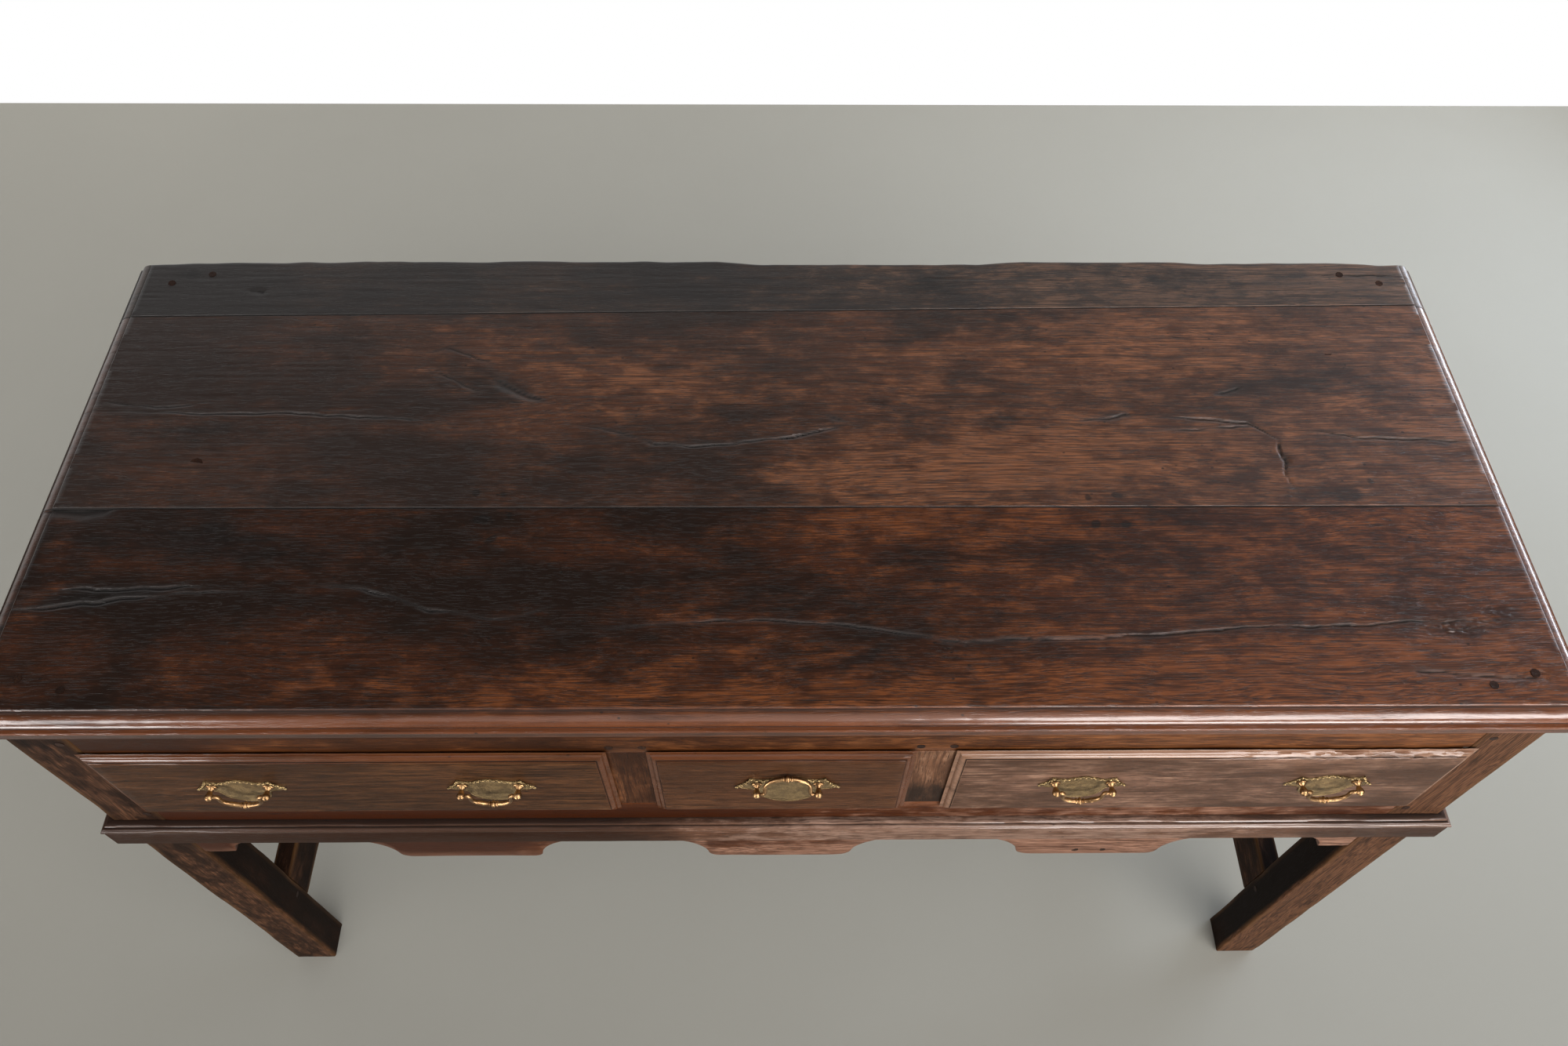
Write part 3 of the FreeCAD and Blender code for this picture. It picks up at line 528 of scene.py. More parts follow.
@dataclass(frozen=True)
class OakFinish:
    """Waxed or dry oak."""

    dark: Colour
    middle: Colour
    light: Colour
    worn: Colour
    # dirt colour, also used for the painted shade that the stain and crack marks carry
    dirt: Colour = (0.006, 0.004, 0.003)
    roughness: float = 0.4
    coat: float = 0.2
    stains: float = 1.0
    specks: float = 0.6
    wear: float = 0.8
    mottle: float = 1.0
    sway: float = 0.35
    relief: float = 0.35
    shine: float = 0.42
    grain: float = 0.6
    polish: float = 0.0

    def blended(self, sheet: NodeSheet, cloud: bpy.types.NodeSocket, level: float) -> bpy.types.NodeSocket:
        """Cloudiness brought nearer to an even level where the finish has little mottling."""
        if self.mottle >= 1.0:
            return cloud
        return sheet.plus(level * (1.0 - self.mottle), cloud, self.mottle)

    def place(self, sheet: NodeSheet, grain: Grain, offset: float) -> bpy.types.NodeSocket:
        """Place in the log, turned so that the grain runs along X."""
        turns = {Grain.ALONG_X: (0, 0, 0), Grain.ALONG_Y: (0, 0, -90), Grain.ALONG_Z: (0, 90, 0)}
        inputs = {
            "Vector": sheet.add("ShaderNodeTexCoord").outputs["Object"],
            "Rotation": tuple(math.radians(a) for a in turns[grain]),
            "Location": (offset, offset * 0.37, offset * 0.61),
        }
        return sheet.add("ShaderNodeMapping", inputs, vector_type="POINT").outputs["Vector"]

    def colour(self, sheet: NodeSheet, figure: bpy.types.Node) -> bpy.types.NodeSocket:
        """Colour of the clean timber from the figure of its grain, moved lighter or darker by the tone mark,
        which also carries painted light and shade.
        """
        tone = sheet.mark("tone")
        shade = sheet.window(sheet.plus(figure.outputs["Mottle"], tone, self.sway), 0.36, 0.66)
        shade = self.blended(sheet, shade, 0.6)
        blotch = sheet.window(sheet.plus(figure.outputs["Blotch"], tone, self.sway), 0.46, 0.72)
        fibre = sheet.window(figure.outputs["Fibre"], 0.3, 0.66)
        spread = sheet.math("MULTIPLY", self.blended(sheet, blotch, 0.4), shade)
        spread = sheet.math("MULTIPLY", spread, sheet.plus(0.35, fibre, 0.75))
        flecks = sheet.math("MULTIPLY", figure.outputs["Rays"], sheet.math("MULTIPLY", shade, 0.3))
        streak = sheet.math("MULTIPLY", sheet.window(figure.outputs["Figure"], 0.52, 0.42), self.grain)
        thread = sheet.math("MULTIPLY", sheet.math("SUBTRACT", 1.0, fibre), 0.75 * self.grain)
        pores = sheet.math("MULTIPLY", figure.outputs["Pores"], 0.6)
        layers = ((spread, self.light), (flecks, self.light), (streak, self.dark), (thread, self.dark),
                  (pores, self.dirt))
        colour = sheet.mix(shade, self.dark, self.middle)
        for amount, paint in layers:
            colour = sheet.mix(amount, colour, paint)
        return colour

    def gloss(self, sheet: MaterialSheet, blotch: bpy.types.NodeSocket, worn: bpy.types.NodeSocket) -> None:
        """Roughness and coat of wax: smoother where the piece is rubbed, and dull in its cracks."""
        crack = sheet.mark("crack")
        rough = sheet.plus(sheet.plus(self.roughness, blotch, 0.1), crack, 0.6)
        rough = sheet.plus(rough, worn, -0.14)
        sheet.dress(Roughness=rough, Specular_IOR_Level=self.shine, Coat_Roughness=0.11)
        if self.coat or self.polish:
            wax = sheet.plus(self.coat, worn, self.polish)
            clean = sheet.math("SUBTRACT", 1.0, crack)
            sheet.dress(Coat_Weight=sheet.math("MULTIPLY", wax, clean, clamp=True))

    def material(self, name: str, shop: Workshop, grain: Grain, offset: float = 0.0) -> bpy.types.Material:
        """Material of one timber.

        Args:
            name: Name of the material.
            shop: Shared node groups.
            grain: Axis that the grain follows.
            offset: Place in the log, so that no two timbers show the same figure.

        Returns:
            The material.
        """
        sheet = MaterialSheet(name)
        place = self.place(sheet, grain, offset)
        figure = sheet.group(shop.figure, Vector=place)
        colour = self.colour(sheet, figure)
        worn = sheet.group(shop.wear, Vector=place, Colour=colour, Worn=self.worn, Amount=self.wear)
        grimy = sheet.group(
            shop.grime, Vector=place, Colour=worn.outputs["Colour"], Dirt=self.dirt,
            Stains=self.stains, Specks=self.specks,
        )
        sheet.dress(Base_Color=grimy.outputs["Colour"])
        self.gloss(sheet, figure.outputs["Blotch"], worn.outputs["Worn"])
        sheet.bump(sheet.plus(figure.outputs["Figure"], figure.outputs["Pores"], -0.7), self.relief, 0.0006)
        return sheet.material


@dataclass(frozen=True)
class BrassFinish:
    """Old cast brass, bright where hands rub it and brown in the hollows."""

    bright: Colour = (0.31, 0.182, 0.085)
    dull: Colour = (0.15, 0.08, 0.036)
    brown: Colour = (0.06, 0.036, 0.018)
    engraved: float = 0.0

    def material(self, name: str) -> bpy.types.Material:
        """Material of the brass, by its name."""
        sheet = MaterialSheet(name)
        place = sheet.add("ShaderNodeTexCoord").outputs["Object"]
        patina = PATINA.drawn(sheet, place)
        bands = sheet.math("SINE", sheet.math("MULTIPLY", SWIRLS.drawn(sheet, place), 38.0))
        cut = sheet.math("MULTIPLY", sheet.window(bands, 0.1, 0.8), self.engraved)
        hollow = sheet.math("MAXIMUM", sheet.mark("crack"), cut)
        colour = sheet.mix(sheet.window(patina, 0.35, 0.65), self.dull, self.bright)
        colour = sheet.mix(sheet.math("MULTIPLY", hollow, 0.85), colour, self.brown)
        rough = sheet.plus(sheet.plus(0.3, patina, 0.16), hollow, 0.25)
        sheet.dress(Base_Color=colour, Metallic=1.0, Roughness=rough)
        sheet.bump(sheet.plus(cut, patina, 0.3), 0.5, 0.0004, invert=True)
        return sheet.material


@dataclass(frozen=True)
class Crack:
    """Wandering split in the top, along a route of points in X and Y."""

    route: tuple[Point, ...]
    width: float = 1.0
    depth: float = 2.2
    seed: int = 1
    lip: float = 2.0
    # darkens a band either side of the crack, wider than the carved groove
    dark_band: float = 0.5
    wander: Place = (2.6, 1.5, 0.7)

    def carve(self, x: np.ndarray, y: np.ndarray) -> tuple[np.ndarray, np.ndarray]:
        """Depth and darkness of the crack.

        Args:
            x: First coordinate of the points of the top.
            y: Second coordinate.

        Returns:
            Depth in millimetres, and darkness from 0 to 1.
        """
        px = x + self.wander[0] * lattice_noise(x / 13.0, y / 13.0, self.seed)
        py = y + self.wander[1] * lattice_noise(x / 17.0, y / 40.0, self.seed + 50)
        py = py + self.wander[2] * lattice_noise(x / 6.0, y / 25.0, self.seed + 51)
        nearest = np.full(np.shape(x), 1e9)
        along = np.zeros(np.shape(x))
        side = np.zeros(np.shape(x))
        run = 0.0
        for (ax, ay), (bx, by) in zip(self.route, self.route[1:]):
            length = math.hypot(bx - ax, by - ay)
            t = np.clip(((px - ax) * (bx - ax) + (py - ay) * (by - ay)) / length ** 2, 0.0, 1.0)
            away = np.hypot(px - ax - t * (bx - ax), py - ay - t * (by - ay))
            closer = away < nearest
            nearest = np.where(closer, away, nearest)
            along = np.where(closer, run + t * length, along)
            side = np.where(closer, (bx - ax) * (py - ay) - (by - ay) * (px - ax), side)
            run += length
        taper = np.clip(np.minimum(along, run - along) / (0.2 * run), 0.12, 1.0)
        taper = np.clip(taper * (0.8 + 0.6 * lattice_noise(along / 19.0, 0.0, self.seed + 90)), 0.06, 1.2)
        reach = self.width * np.maximum(taper, 0.4) * np.where(side < 0.0, self.lip, 0.75)
        shape = np.exp(-((nearest / reach) ** 2))
        core = np.exp(-((nearest / (0.9 * self.width)) ** 2)) * np.clip(taper * 1.6, 0.0, 1.0)
        dark_band = self.dark_band * np.exp(-((nearest / (2.6 * self.width)) ** 2)) * np.clip(taper * 1.3, 0.0, 1.0)
        return self.depth * taper * shape, np.clip(np.maximum(core, dark_band), 0.0, 1.0)

    def span(self, margin: float = 4.0) -> Point:
        """Stretch of Y that the crack covers."""
        places = [y for _, y in self.route]
        return min(places) - margin, max(places) + margin

    def steep_spans(self, margin: float = 5.0) -> list[Point]:
        """Stretches of X where the crack runs across the grain."""
        pairs = zip(self.route, self.route[1:])
        steep = [(a[0], b[0]) for a, b in pairs if abs(b[1] - a[1]) > 0.7 * abs(b[0] - a[0])]
        return [(min(pair) - margin, max(pair) + margin) for pair in steep]


@dataclass(frozen=True)
class Patch:
    """Soft oval on a face that is stained, lighter, dented, scratched or chipped."""

    x: float
    y: float
    half_length: float
    half_width: float
    strength: float = 1.0
    turn: float = 0.0

    def cover(self, x: np.ndarray, y: np.ndarray) -> np.ndarray:
        """How far the patch covers each point, from 0 to its strength."""
        c = math.cos(math.radians(self.turn))
        s = math.sin(math.radians(self.turn))
        dx = x - self.x + 9.0 * lattice_noise(x / 33.0, y / 33.0, 7)
        dy = y - self.y + 7.0 * lattice_noise(x / 30.0, y / 30.0, 8)
        a = (dx * c + dy * s) / self.half_length
        b = (dy * c - dx * s) / self.half_width
        return self.strength * np.exp(-((a * a + b * b) ** 1.3))


@dataclass
class TopBoard:
    """One plank of the top, with its worked edges, cracks and marks."""

    node: str
    front: BoardEdge
    back: BoardEdge
    seed: int
    cracks: tuple[Crack, ...] = ()
    stains: tuple[Patch, ...] = ()
    tones: tuple[Patch, ...] = ()
    dents: tuple[Patch, ...] = ()
    across: float = 2.2
    lengthways: float = 3.8
    steep_step: float = 2.0
    fine: float = 0.75
    # painted light: the board grows lighter towards its right end, partly its wood and partly where the light
    # falls from the right
    painted_light_slant: float = 0.32
    nose_run: float = 16.8
    nose_drop: float = 7.5
    nose_quirk: float = 2.0
    nose_lip: float = 4.4
    nose_depth: float = 14.0
    nose_fillet: float = 2.5
    nose_step: float = 0.8
    end_zone: float = 10.0
    # painted shade: the left end is darker and less worn, where it turns away from the light
    left_end_reach: float = 24.0
    left_end_wear: float = 0.12
    left_end_shade: float = 0.5
    rubbed: Point = (2.5, 12.5)
    quiet_wear: float = 0.35
    joint_grime: float = 0.9
    nick_depth: float = 0.35
    ragged_depth: float = 4.5
    swell: float = 0.22
    sink: float = 0.25
    ripple: float = 0.09

    def profile(self, edge: BoardEdge) -> list[Point]:
        """Inset and depth of each row of an edge, from the top face down; all edges have the same depths."""
        run, lip, ledge, fillet = self.nose_run, self.nose_lip, self.nose_depth, self.nose_fillet
        low = self.nose_quirk + self.nose_drop
        rows = [(run + 0.9, 0.0), (run, 0.6), (run - 0.2, self.nose_quirk)]
        for step in range(1, 7):
            angle = math.pi / 12 * step
            rows.append((run - (run - lip) * math.sin(angle), low - self.nose_drop * math.cos(angle)))
        rows += [(lip + 0.3, low + self.nose_step), (lip - 0.7, low + 0.9), (1.0, low + 1.2)]
        rows += [(0.0, low + 2.2), (0.0, ledge - 0.4), (0.5, ledge), (fillet, ledge + 0.1)]
        rows += [(fillet, self.thickness - 0.6), (fillet + 0.5, self.thickness)]
        if edge is BoardEdge.MOULDED:
            return rows
        soft = {0: 1.1, 1: 0.5, 2: 0.2, len(rows) - 1: 0.6}
        if edge is BoardEdge.RAGGED:
            soft = {0: 2.6, 1: 1.3, 2: 0.4, len(rows) - 1: 1.0}
        return [(soft.get(k, 0.0), depth) for k, (_, depth) in enumerate(rows)]

    def measure(self) -> None:
        """Read the board's place from the frame, its joints at both ends included."""
        self.lo, self.hi = box_mm(self.node)
        self.thickness = self.hi[2] - self.lo[2]
        places = np.array([v.co for v in frame["nodes"][self.node].data.vertices]) / MM
        left = places[places[:, 0] < self.lo[0] + self.end_zone]
        right = places[places[:, 0] > self.hi[0] - self.end_zone]
        self.front_line = (left[:, 1].min(), right[:, 1].min())
        self.back_line = (left[:, 1].max(), right[:, 1].max())

    def line(self, ends: tuple[float, float], x: np.ndarray, edge: BoardEdge) -> np.ndarray:
        """Y of a long edge at each X, ragged where the edge is."""
        t = (x - self.lo[0]) / (self.hi[0] - self.lo[0])
        y = ends[0] + (ends[1] - ends[0]) * t
        if edge is BoardEdge.RAGGED:
            bites = np.clip(lattice_noise(x / 95.0, 0.0, 31) + 0.25, 0.0, 1.0)
            y = y - self.ragged_depth * bites - 1.0 - 0.8 * lattice_noise(x / 24.0, 3.0, 32)
        return y

    def relief(self, x: np.ndarray, y: np.ndarray) -> tuple[np.ndarray, np.ndarray]:
        """Height of the top face in millimetres, and how dark its cracks are from 0 to 1."""
        height = self.swell * lattice_noise(x / 130.0, y / 55.0, self.seed) - self.sink
        height = height + self.ripple * lattice_noise(x / 60.0, y / 3.4, self.seed + 1)
        dark = np.zeros(np.shape(x))
        for crack in self.cracks:
            depth, shade = crack.carve(x, y)
            height = np.minimum(height, height - depth)
            dark = np.maximum(dark, shade)
        for dent in self.dents:
            height = height - dent.cover(x, y) * (0.8 + lattice_noise(x / 3.4, y / 2.1, 77))
        return np.minimum(height, 0.0), dark

    def tone(self, x: np.ndarray, y: np.ndarray) -> np.ndarray:
        """How light the board is at each point; its right end is lighter than its left, partly its wood and
        partly painted light.
        """
        return sum((patch.cover(x, y) for patch in self.tones), self.painted_light_slant * x / self.hi[0])

    def rings(self, s: np.ndarray, t: np.ndarray) -> tuple[np.ndarray, np.ndarray]:
        """Closed loops round the board from shares along and across it, and their depths as a column."""
        rows = [self.profile(edge) for edge in (self.front, BoardEdge.MOULDED, self.back)]
        loops = []
        for front, end, back in zip(*rows):
            x = self.lo[0] + end[0] + (self.hi[0] - self.lo[0] - 2 * end[0]) * s
            near = self.line(self.front_line, x, self.front) + front[0]
            far = self.line(self.back_line, x, self.back) - back[0]
            loops.append(loop_round(x, near, far, t))
        return np.array(loops), np.array([[depth] for _, depth in rows[1]])

    def face(self, shell: Shell, outline: np.ndarray, t: np.ndarray) -> np.ndarray:
        """Add the top face inside a loop, and return the indices of the points round it."""
        across = len(t) - 1
        along = len(outline) // 2 - across
        front = outline[: along + 1]
        behind = outline[along + across: 2 * along + across + 1][::-1]
        places = front[None] * (1 - t[:, None, None]) + behind[None] * t[:, None, None]
        x, y = places[..., 0], places[..., 1]
        height, dark = self.relief(x, y)
        stain = sum((patch.cover(x, y) for patch in self.stains), np.zeros(height.shape))
        points = np.concatenate([places, (self.hi[2] + height)[..., None]], axis=-1)
        index = shell.add(points, crack=dark, tone=self.tone(x, y), stain=np.clip(stain, 0.0, 1.0))
        shell.quads(index)
        return rim(index)

    def skirt(self, shell: Shell, border: np.ndarray, loops: np.ndarray, depth: np.ndarray,
              across: int) -> None:
        """Add the worked edges below the border of the top face, and the underside."""
        x, y = loops[..., 0], loops[..., 1]
        height, dark = self.relief(x, y)
        fade = np.clip(1.0 - depth / self.thickness, 0.0, 1.0)
        nick = self.nick_depth * np.clip(lattice_noise(x / 17.0, y / 17.0, self.seed + 9), 0.0, 1.0)
        nose = self.nose_quirk + self.nose_drop
        z = self.hi[2] - depth + np.where(depth < nose, height * fade - nick, 0.0)
        places = np.concatenate([loops, np.maximum(z, self.lo[2])[..., None]], axis=-1)
        along = loops.shape[1] // 2 - across
        end = (across, BoardEdge.MOULDED)
        kinds = ((along, self.front), end, (along, self.back), end)
        worked, joint = (np.concatenate([np.full(count, edge is kind) for count, edge in kinds])[None]
                         for kind in (BoardEdge.MOULDED, BoardEdge.JOINT))
        # painted shade on the left end: less worn colour and gloss there, and a darker tone
        left_end_fade = np.clip((x - self.lo[0]) / self.left_end_reach, self.left_end_wear, 1.0)
        rubbed = (depth > self.rubbed[0]) & (depth < self.rubbed[1])
        wear = np.where(rubbed, 1.0, self.quiet_wear) * worked * left_end_fade
        shade = self.tone(x, y) - self.left_end_shade * (1.0 - left_end_fade)
        grime = np.where(joint, self.joint_grime, dark * fade)
        grooves = ((1.6, 0.6, 0.8), (nose + self.nose_step, 0.05, 1.0), (self.nose_depth, 0.3, 0.7))
        for middle, half, amount in grooves:
            grime = np.where((abs(depth - middle) < half) & worked, amount, grime)
        index = shell.add(places[1:], wear=wear[1:], tone=shade[1:], crack=np.clip(grime[1:], 0.0, 1.0))
        shell.quads(np.concatenate([border[None], index]), closed=True)
        shell.faces.append(tuple(index[-1].tolist()))

    def build(self, material: bpy.types.Material) -> bpy.types.Object:
        """Make the board in a finish."""
        self.measure()
        steep = [stretch for crack in self.cracks for stretch in crack.steep_spans()]
        steep += [(dent.x - dent.half_length, dent.x + dent.half_length) for dent in self.dents]
        s = spaced(self.lo[0], self.hi[0], self.lengthways, self.steep_step, steep)
        y0, y1 = (sum(line) / 2 for line in (self.front_line, self.back_line))
        t = spaced(y0, y1, self.across, self.fine, [crack.span() for crack in self.cracks])
        loops, depth = self.rings(s, t)
        shell = Shell()
        border = self.face(shell, loops[0], t)
        self.skirt(shell, border, loops, depth, len(t) - 1)
        return settle(shell.build(self.node + "_oak", material), "carcass", "oak_top", self.node)


def arris_wear(corner: np.ndarray, rub: np.ndarray | float) -> np.ndarray:
    """Wear mark of a timber's arrises, from 1 on its corners and how far they are rubbed."""
    return corner * (0.35 + 0.65 * rub)


@dataclass
class Timber:
    """Squared length of oak with worn arrises."""

    lo: np.ndarray
    hi: np.ndarray
    grain: Grain
    seed: int
    arris: float = 1.6
    wear: float = 1.3
    step: float = 14.0
    end_softness: float = 0.6
    foot: float = 0.0
    # painted light: front faces are lighter than the sides, and right ends lighter, partly where the light
    # falls; the shaded side is painted shade on a leg's inner face, partly darker wood
    painted_front_light: float = 0.0
    shaded_side: int = 0
    shade_tone: float = -0.25
    painted_light_slant: float = 0.0
    # painted shade: darker towards the foot of a timber, carried on the stain mark
    foot_shade: float = 0.0
    foot_reach: float = 70.0
    facing_reach: float = 3.0
    corner_points: int = 4
    flat_shares: Place = (0.12, 0.5, 0.88)

    def section(self, lo: np.ndarray, hi: np.ndarray) -> tuple[np.ndarray, np.ndarray, np.ndarray]:
        """Rounded rectangle: points, their outward directions, and 1 on corners and 0 on flats."""
        points, ways, corner = [], [], []
        signs = ((-1, -1), (1, -1), (1, 1), (-1, 1))
        middle = (lo + hi) / 2
        half = (hi - lo) / 2 - self.arris
        for k, sign in enumerate(signs):
            for step in range(self.corner_points):
                angle = math.radians(180 + 90 * k + 90 * step / (self.corner_points - 1))
                way = np.array([math.cos(angle), math.sin(angle)])
                points.append(middle + half * np.array(sign) + self.arris * way)
                ways.append(np.array(sign) / math.sqrt(2))
                corner.append(1.0)
            nxt = np.array(signs[(k + 1) % 4])
            for share in self.flat_shares:
                face = (np.array(sign) + nxt) / 2
                along = np.array(sign) * (1 - share) + nxt * share
                points.append(middle + half * along + self.arris * face)
                ways.append(face)
                corner.append(0.0)
        return np.array(points), np.array(ways), np.array(corner)

    def rings(self) -> tuple[np.ndarray, dict[str, np.ndarray]]:
        """Sections along the length, pulled in where the arrises are worn, and their marks."""
        axis = self.grain.value
        others = [k for k in range(3) if k != axis]
        points, ways, corner = self.section(self.lo[others], self.hi[others])
        length = self.hi[axis] - self.lo[axis]
        inner = np.linspace(self.end_softness, length - self.end_softness, max(3, round(length / self.step)))
        stops = np.concatenate([[0.0], inner, [length]])
        shrink = np.zeros(len(stops))
        shrink[[0, -1]] = self.end_softness
        shrink[0] = max(self.foot, self.end_softness)
        if self.foot:
            stops[1] = self.foot
        lane = np.arange(len(points)) // (self.corner_points + len(self.flat_shares))
        rub = np.clip(lattice_noise(stops[:, None] / 43.0, lane[None] * 5.3, self.seed) + 0.15, 0.0, 1.0)
        wave = 0.22 * lattice_noise(stops[:, None] / 75.0, np.arange(len(points))[None] * 0.7, self.seed + 3)
        worn = self.wear * rub * corner[None]
        hollow = np.clip(wave + 0.2, 0.0, 0.45) * (1 - corner[None])
        flat = points[None] - ways[None] * (worn + hollow + shrink[:, None])[..., None]
        rings = np.zeros((*flat.shape[:2], 3))
        rings[..., others[0]] = flat[..., 0]
        rings[..., others[1]] = flat[..., 1]
        rings[..., axis] = self.lo[axis] + stops[:, None]
        # painted light on the front face and towards the right end, and painted shade on the inner side
        facing = np.clip(-rings[..., 1] + self.lo[1] + self.facing_reach, 0.0, 1.0)
        tone = facing * (self.painted_front_light + self.painted_light_slant * rings[..., 0] / HALF_FRONT)
        if self.shaded_side:
            away = rings[..., 0] - self.lo[0] if self.shaded_side < 0 else self.hi[0] - rings[..., 0]
            tone = tone + self.shade_tone * np.clip(self.facing_reach - away, 0.0, 1.0) * (1.0 - facing)
        # painted shade towards the foot, carried on the stain mark
        low = self.lo[2] + self.foot_reach - rings[..., 2]
        stain = self.foot_shade * np.clip(low / (0.6 * self.foot_reach), 0.0, 1.0)
        return rings, {"wear": arris_wear(corner[None], rub), "tone": tone, "stain": stain}

    def build(self, node: str, material: bpy.types.Material) -> bpy.types.Object:
        """Make the timber in a finish, as a piece of the carcass that stands for its node."""
        shell = Shell()
        rings, marks = self.rings()
        shell.loft(rings, **marks)
        return settle(shell.build(node + "_oak", material), "carcass", "oak_frame", node)


@dataclass
class Apron:
    """Deep rail under the drawers, its lower edge shaped with drops, arches and brackets."""

    node: str = "apron_rail"
    arch_rise: float = 54.0
    drop_width: float = 132.0
    drop_pitch: float = 339.0
    ogee_run: float = 60.0
    ogee_corner: float = 12.0
    bracket_rise: float = 22.0
    bracket_width: float = 33.0
    bracket_run: float = 36.0
    spacing: float = 5.0
    rub_depth: float = 1.1
    end_softness: float = 0.5
    band: float = 80.0
    # painted light: the drops grow lighter towards the middle and right, partly their wood and partly where
    # the light falls; the strip above the band is painted shade under the drawer lips, lighter towards the
    # right
    lower_painted_light: Place = (0.27, 0.68, -0.33)
    upper_span: Point = (-0.35, 0.4)
    upper_shade_and_light: Point = (-0.35, 0.15)

    def half_edge(self, inner: float, bottom: float) -> list[Point]:
        """Lower edge as X and Z, from the middle to the inner face of the right-hand leg."""
        arch = bottom + self.arch_rise
        half = self.drop_width / 2
        places = [(0.0, bottom), (half, bottom), *self.ogee(half, 1, bottom)]
        low = self.drop_pitch - half
        places += self.ogee(low, -1, bottom)[::-1]
        places += [(low, bottom), (low + self.drop_width, bottom)]
        places += self.ogee(low + self.drop_width, 1, bottom)
        foot = (inner - self.bracket_width, bottom + self.bracket_rise)
        spring = (foot[0] - self.bracket_run, arch)
        share = 1 - math.sqrt(0.5)
        hollow = (foot[0] - self.bracket_run * share, arch - (arch - foot[1]) * share)
        places += [spring, *arc_through(spring, hollow, foot, 10), (inner, foot[1])]
        return places

    def ogee(self, x: float, way: int, bottom: float) -> list[Point]:
        """S-curve from the end of a drop up to an arch."""
        turn = 2 * math.atan2(self.arch_rise, self.ogee_run)
        radius = self.ogee_run / math.sin(turn) - self.ogee_corner
        corner = (x, bottom + self.ogee_corner)
        arch = (x + way * self.ogee_run, bottom + self.arch_rise - radius)
        low = [(corner[0] + way * self.ogee_corner * math.sin(turn * k / 6),
                corner[1] - self.ogee_corner * math.cos(turn * k / 6)) for k in range(1, 7)]
        high = [(arch[0] - way * radius * math.sin(turn * (1 - k / 12)),
                 arch[1] + radius * math.cos(turn * (1 - k / 12))) for k in range(1, 13)]
        return low + high

    def stations(self, inner: float, bottom: float) -> np.ndarray:
        """Lower edge from leg to leg, with long flats divided."""
        right = self.half_edge(inner, bottom)
        whole = [(-x, z) for x, z in right[:0:-1]] + right
        dense = [whole[0]]
        for a, b in zip(whole, whole[1:]):
            count = max(1, round(math.dist(a, b) / self.spacing))
            dense += [(a[0] + (b[0] - a[0]) * k / count, a[1] + (b[1] - a[1]) * k / count)
                      for k in range(1, count + 1)]
        return np.array(dense)

    def build(self, inner: float, material: bpy.types.Material) -> bpy.types.Object:
        """Make the apron in a finish, up to the inner face of the leg on each side."""
        lo, hi = box_mm(self.node)
        edge = self.stations(inner, lo[2])
        rings, marks = [], []
        for k, (x, z) in enumerate(edge):
            bar = Timber(np.array([0, lo[1], z]), np.array([0, hi[1], hi[2]]), Grain.ALONG_X, 40)
            points, ways, corner = bar.section(bar.lo[1:], bar.hi[1:])
            rub = max(0.0, float(lattice_noise(np.array(k / 9.0), np.array(2.0), 41)) + 0.1)
            soft = self.end_softness if k in (0, len(edge) - 1) else 0.0
            flat = points - ways * (corner[:, None] * self.rub_depth * rub + soft)
            rings.append(np.column_stack([np.full(len(flat), x), flat]))
            marks.append(arris_wear(corner, min(rub, 1.0)))
        rings = np.array(rings)
        # painted light on the drops, painted shade and light on the strip above the band
        share = rings[..., 0] / inner
        lower = polyval(share, self.lower_painted_light)
        upper = np.interp(share, self.upper_span, self.upper_shade_and_light)
        tone = np.where(rings[..., 2] < lo[2] + self.band, lower, upper)
        shell = Shell()
        shell.loft(rings, wear=np.array(marks), tone=tone)
        return settle(shell.build(self.node + "_oak", material), "carcass", "oak_frame", self.node)


